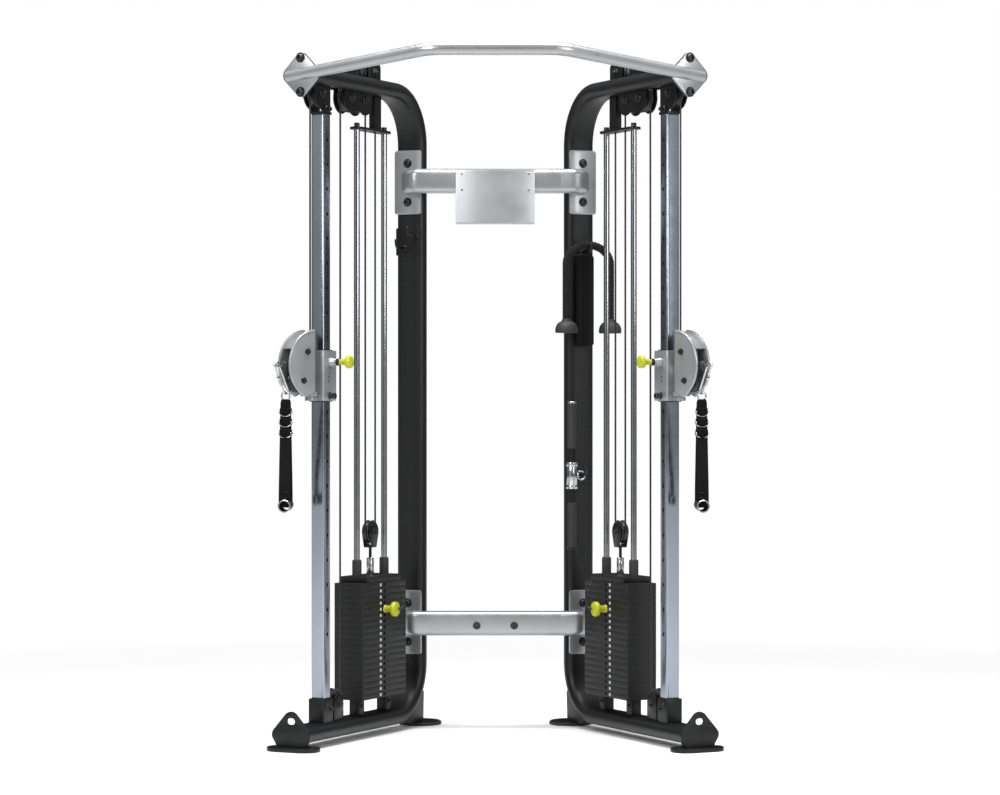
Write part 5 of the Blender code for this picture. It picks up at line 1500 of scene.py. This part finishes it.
def make_ankle_strap():
    """A padded cuff folded flat: two quilted layers bound at the edge, and a webbing band."""
    low, high = (Vector(corner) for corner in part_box("ankle_strap"))
    top, foot = high.z, low.z
    t = UPRIGHT_FACE - 0.0215
    parts = []
    for way, shift in ((-1, 0.0), (1, 0.004)):
        shape = bmesh.new()
        rows = 60
        columns_count = 14
        grid = []
        for row in range(rows + 1):
            z = top - 0.006 - (top - foot - 0.012) * row / rows
            line = []
            for column in range(columns_count + 1):
                n = -0.030 + 0.060 * column / columns_count
                edge = min(1.0, 5.0 * (1 - abs(n) / 0.030)) * min(1.0, 10.0 * min(row / rows, 1 - row / rows))
                quilt = 0.72 + 0.28 * abs(math.sin(math.pi * row / 6)) ** 0.5
                puff = 0.0008 + 0.0036 * edge ** 0.5 * quilt
                line.append(shape.verts.new((t + way * (0.0006 + puff), n + shift * 0, z)))
            grid.append(line)
        skin(shape, grid, False)
        parts.append((shape, NEOPRENE))
    rim = [(-0.0305, top - 0.005), (0.0305, top - 0.005), (0.0305, foot + 0.005), (-0.0305, foot + 0.005)]
    edge = [(t, n, z) for n, z in rounded([(n, z, 0.008) for n, z in reversed(rim)])]
    parts.append((tube(edge, 0.0022, closed=True, steps=10), WEBBING))
    outline = [(n, z + (top + foot) / 2) for n, z in rectangle(0.024, top - foot - 0.030, 0.002)]
    band = sheet([outline], 0.0022, ACROSS_TOWER, (t - 0.0052, 0, 0), 0.0006)
    parts.append((band, WEBBING))
    strap = piece("ankle_strap", parts, "frame", TOWER["right"], ["ankle_strap"])


def make_straight_bar():
    t = UPRIGHT_FACE - 0.030
    n, z, eye_n = 0.052, 0.819, 0.019
    centre = (t, n, z)
    parts = []
    for way in (-1, 1):
        grip = [(0, 0.088), (0.0138, 0.088), (0.0148, 0.0895)]
        for index in range(38):
            grip.append((0.0150 if index % 2 else 0.0143, 0.092 + 0.140 * index / 37))
        grip += [(0.0150, 0.2335), (0, 0.2335)]
        parts.append((lathe(grip, centre, (0, 0, way), 36), RUBBER))
        parts.append((lathe([(0, 0.2330), (0.0150, 0.2330), (0.0150, 0.2385), (0.0138, 0.2400), (0, 0.2400)],
                            centre, (0, 0, way)), ZINC if way > 0 else SATIN_BLACK))
        tube_end = [(0, 0.040), (0.0125, 0.040), (0.0125, 0.0885), (0, 0.0885)]
        parts.append((lathe(tube_end, centre, (0, 0, way)), SATIN_BLACK))
        parts.append((lathe([(0, 0.030), (0.0175, 0.030), (0.0190, 0.032), (0.0190, 0.041), (0.0175, 0.043),
                             (0, 0.043)], centre, (0, 0, way)), CHROME))
    parts.append((lathe([(0, -0.031), (0.0160, -0.031), (0.0172, -0.029), (0.0172, 0.029), (0.0160, 0.031),
                         (0, 0.031)], centre, Z), CHROME))
    ring = [(t, eye_n + y, z + x) for y, x in arc((0, 0), 0.0135, 12, 348, 36)]
    parts.append((tube(ring, 0.0030, steps=14), CHROME))
    boss = lathe([(0, 0), (0.0078, 0), (0.0078, 0.003), (0.0056, 0.006), (0, 0.006)],
                 (t, n - 0.0215, z), (0, 1, 0))
    parts.append((boss, CHROME))
    piece("straight_bar", parts, "frame", TOWER["right"], ["straight_bar"])


# ---------------------------------------------------------------- stage

def make_camera():
    front = min(TOWER[side].translation.y for side in SIDES)
    data = bpy.data.cameras.new("camera")
    data.lens = LENS
    data.sensor_width = 36.0
    data.shift_x = 0.0047
    data.shift_y = -0.0015
    data.clip_end = 60.0
    item = bpy.data.objects.new("camera", data)
    item.location = (0.0, front - CAMERA_BACK, CAMERA_HEIGHT)
    item.rotation_euler = (math.radians(90), 0, 0)
    bpy.context.scene.collection.objects.link(item)
    bpy.context.scene.camera = item
    bpy.context.scene.view_settings.view_transform = "Standard"


def make_world():
    """A white background; in reflections a studio with bright boxes at the sides, darker at the rear."""
    world = bpy.data.worlds.new("studio")
    world.use_nodes = True
    tree = world.node_tree
    tree.nodes.clear()
    output = tree.nodes.new("ShaderNodeOutputWorld")
    white = tree.nodes.new("ShaderNodeBackground")
    white.inputs["Color"].default_value = (1, 1, 1, 1)
    white.inputs["Strength"].default_value = 1.0
    studio = tree.nodes.new("ShaderNodeBackground")
    studio.inputs["Strength"].default_value = 0.62
    where = tree.nodes.new("ShaderNodeTexCoord")
    parts = tree.nodes.new("ShaderNodeSeparateXYZ")
    tree.links.new(where.outputs["Generated"], parts.inputs["Vector"])
    across = tree.nodes.new("ShaderNodeValToRGB")
    span = tree.nodes.new("ShaderNodeMapRange")
    span.inputs["From Min"].default_value = -1.0
    span.inputs["From Max"].default_value = 1.0
    tree.links.new(parts.outputs["X"], span.inputs["Value"])
    tree.links.new(span.outputs["Result"], across.inputs["Fac"])
    ramp = across.color_ramp
    ramp.interpolation = "EASE"
    stops = ((0.0, 0.35), (0.10, 0.90), (0.22, 1.15), (0.34, 0.20), (0.48, 0.55), (0.60, 0.16), (0.76, 1.15),
             (0.90, 0.90), (1.0, 0.35))
    ramp.elements[0].position, ramp.elements[1].position = stops[0][0], stops[-1][0]
    for element, (_, value) in zip(ramp.elements, (stops[0], stops[-1])):
        element.color = (value, value, value, 1)
    for position, value in stops[1:-1]:
        ramp.elements.new(position).color = (value, value, value, 1)
    sky = tree.nodes.new("ShaderNodeMapRange")
    sky.inputs["From Min"].default_value = -0.25
    sky.inputs["From Max"].default_value = 0.75
    sky.inputs["To Min"].default_value = 0.55
    sky.inputs["To Max"].default_value = 1.35
    tree.links.new(parts.outputs["Z"], sky.inputs["Value"])
    tint = tree.nodes.new("ShaderNodeMix")
    tint.data_type = "RGBA"
    tint.blend_type = "MULTIPLY"
    tint.inputs[0].default_value = 1.0
    tree.links.new(across.outputs["Color"], tint.inputs[6])
    tree.links.new(sky.outputs["Result"], tint.inputs[7])
    behind = tree.nodes.new("ShaderNodeMapRange")
    behind.inputs["From Min"].default_value = 0.15
    behind.inputs["From Max"].default_value = 0.85
    behind.inputs["To Min"].default_value = 1.0
    behind.inputs["To Max"].default_value = 0.10
    tree.links.new(parts.outputs["Y"], behind.inputs["Value"])
    shade = tree.nodes.new("ShaderNodeMix")
    shade.data_type = "RGBA"
    shade.blend_type = "MULTIPLY"
    shade.inputs[0].default_value = 1.0
    tree.links.new(tint.outputs[2], shade.inputs[6])
    tree.links.new(behind.outputs["Result"], shade.inputs[7])
    tree.links.new(shade.outputs[2], studio.inputs["Color"])
    ray = tree.nodes.new("ShaderNodeLightPath")
    mix = tree.nodes.new("ShaderNodeMixShader")
    tree.links.new(ray.outputs["Is Camera Ray"], mix.inputs[0])
    tree.links.new(studio.outputs["Background"], mix.inputs[1])
    tree.links.new(white.outputs["Background"], mix.inputs[2])
    tree.links.new(mix.outputs["Shader"], output.inputs["Surface"])
    bpy.context.scene.world = world


def area_light(name, place, target, size, power):
    data = bpy.data.lights.new(name, "AREA")
    data.shape = "RECTANGLE"
    data.size, data.size_y = size
    data.energy = power
    item = bpy.data.objects.new(name, data)
    item.location = place
    item.rotation_euler = (Vector(target) - Vector(place)).to_track_quat("-Z", "Y").to_euler()
    bpy.context.scene.collection.objects.link(item)


def make_lights():
    area_light("key", (-2.6, -4.2, 3.6), (0, 0, 1.1), (1.6, 2.2), 140)
    area_light("fill", (3.2, -3.8, 2.6), (0, 0, 1.0), (1.8, 2.4), 80)
    area_light("top", (0, -0.2, 4.4), (0, 0, 1.0), (3.0, 1.4), 230)


def make_floor():
    mesh = bpy.data.meshes.new("floor")
    disc = bmesh.new()
    bmesh.ops.create_circle(disc, cap_ends=True, segments=96, radius=9.0)
    disc.to_mesh(mesh)
    disc.free()
    mesh.materials.append(pale_floor())
    item = bpy.data.objects.new("floor", mesh)
    item.location.z = -0.0005
    bpy.context.scene.collection.objects.link(item)


# ---------------------------------------------------------------- build

def build():
    make_camera()
    make_world()
    make_lights()
    make_floor()
    for side in SIDES:
        make_side_frame(side)
        make_column(side)
        make_carriage(side)
        make_pop_pin(side)
        make_pulleys(side)
        make_guide_rods(side)
        make_retainer(side)
        make_stack(side)
        make_selector(side)
        make_weight_pin(side)
        make_lanyard(side)
        make_swivel(side)
        make_cable_end(side)
        make_snap_hook(side)
        make_handle(side)
        make_cable(side)
    make_pull_up_bar()
    make_cross_member("upper_cross_member", UPPER_CROSS_Z)
    make_cross_member("lower_cross_member", LOWER_CROSS_Z)
    make_cross_caps()
    make_placard()
    make_all_hooks()
    make_triceps_rope()
    make_ankle_strap()
    make_straight_bar()


build()
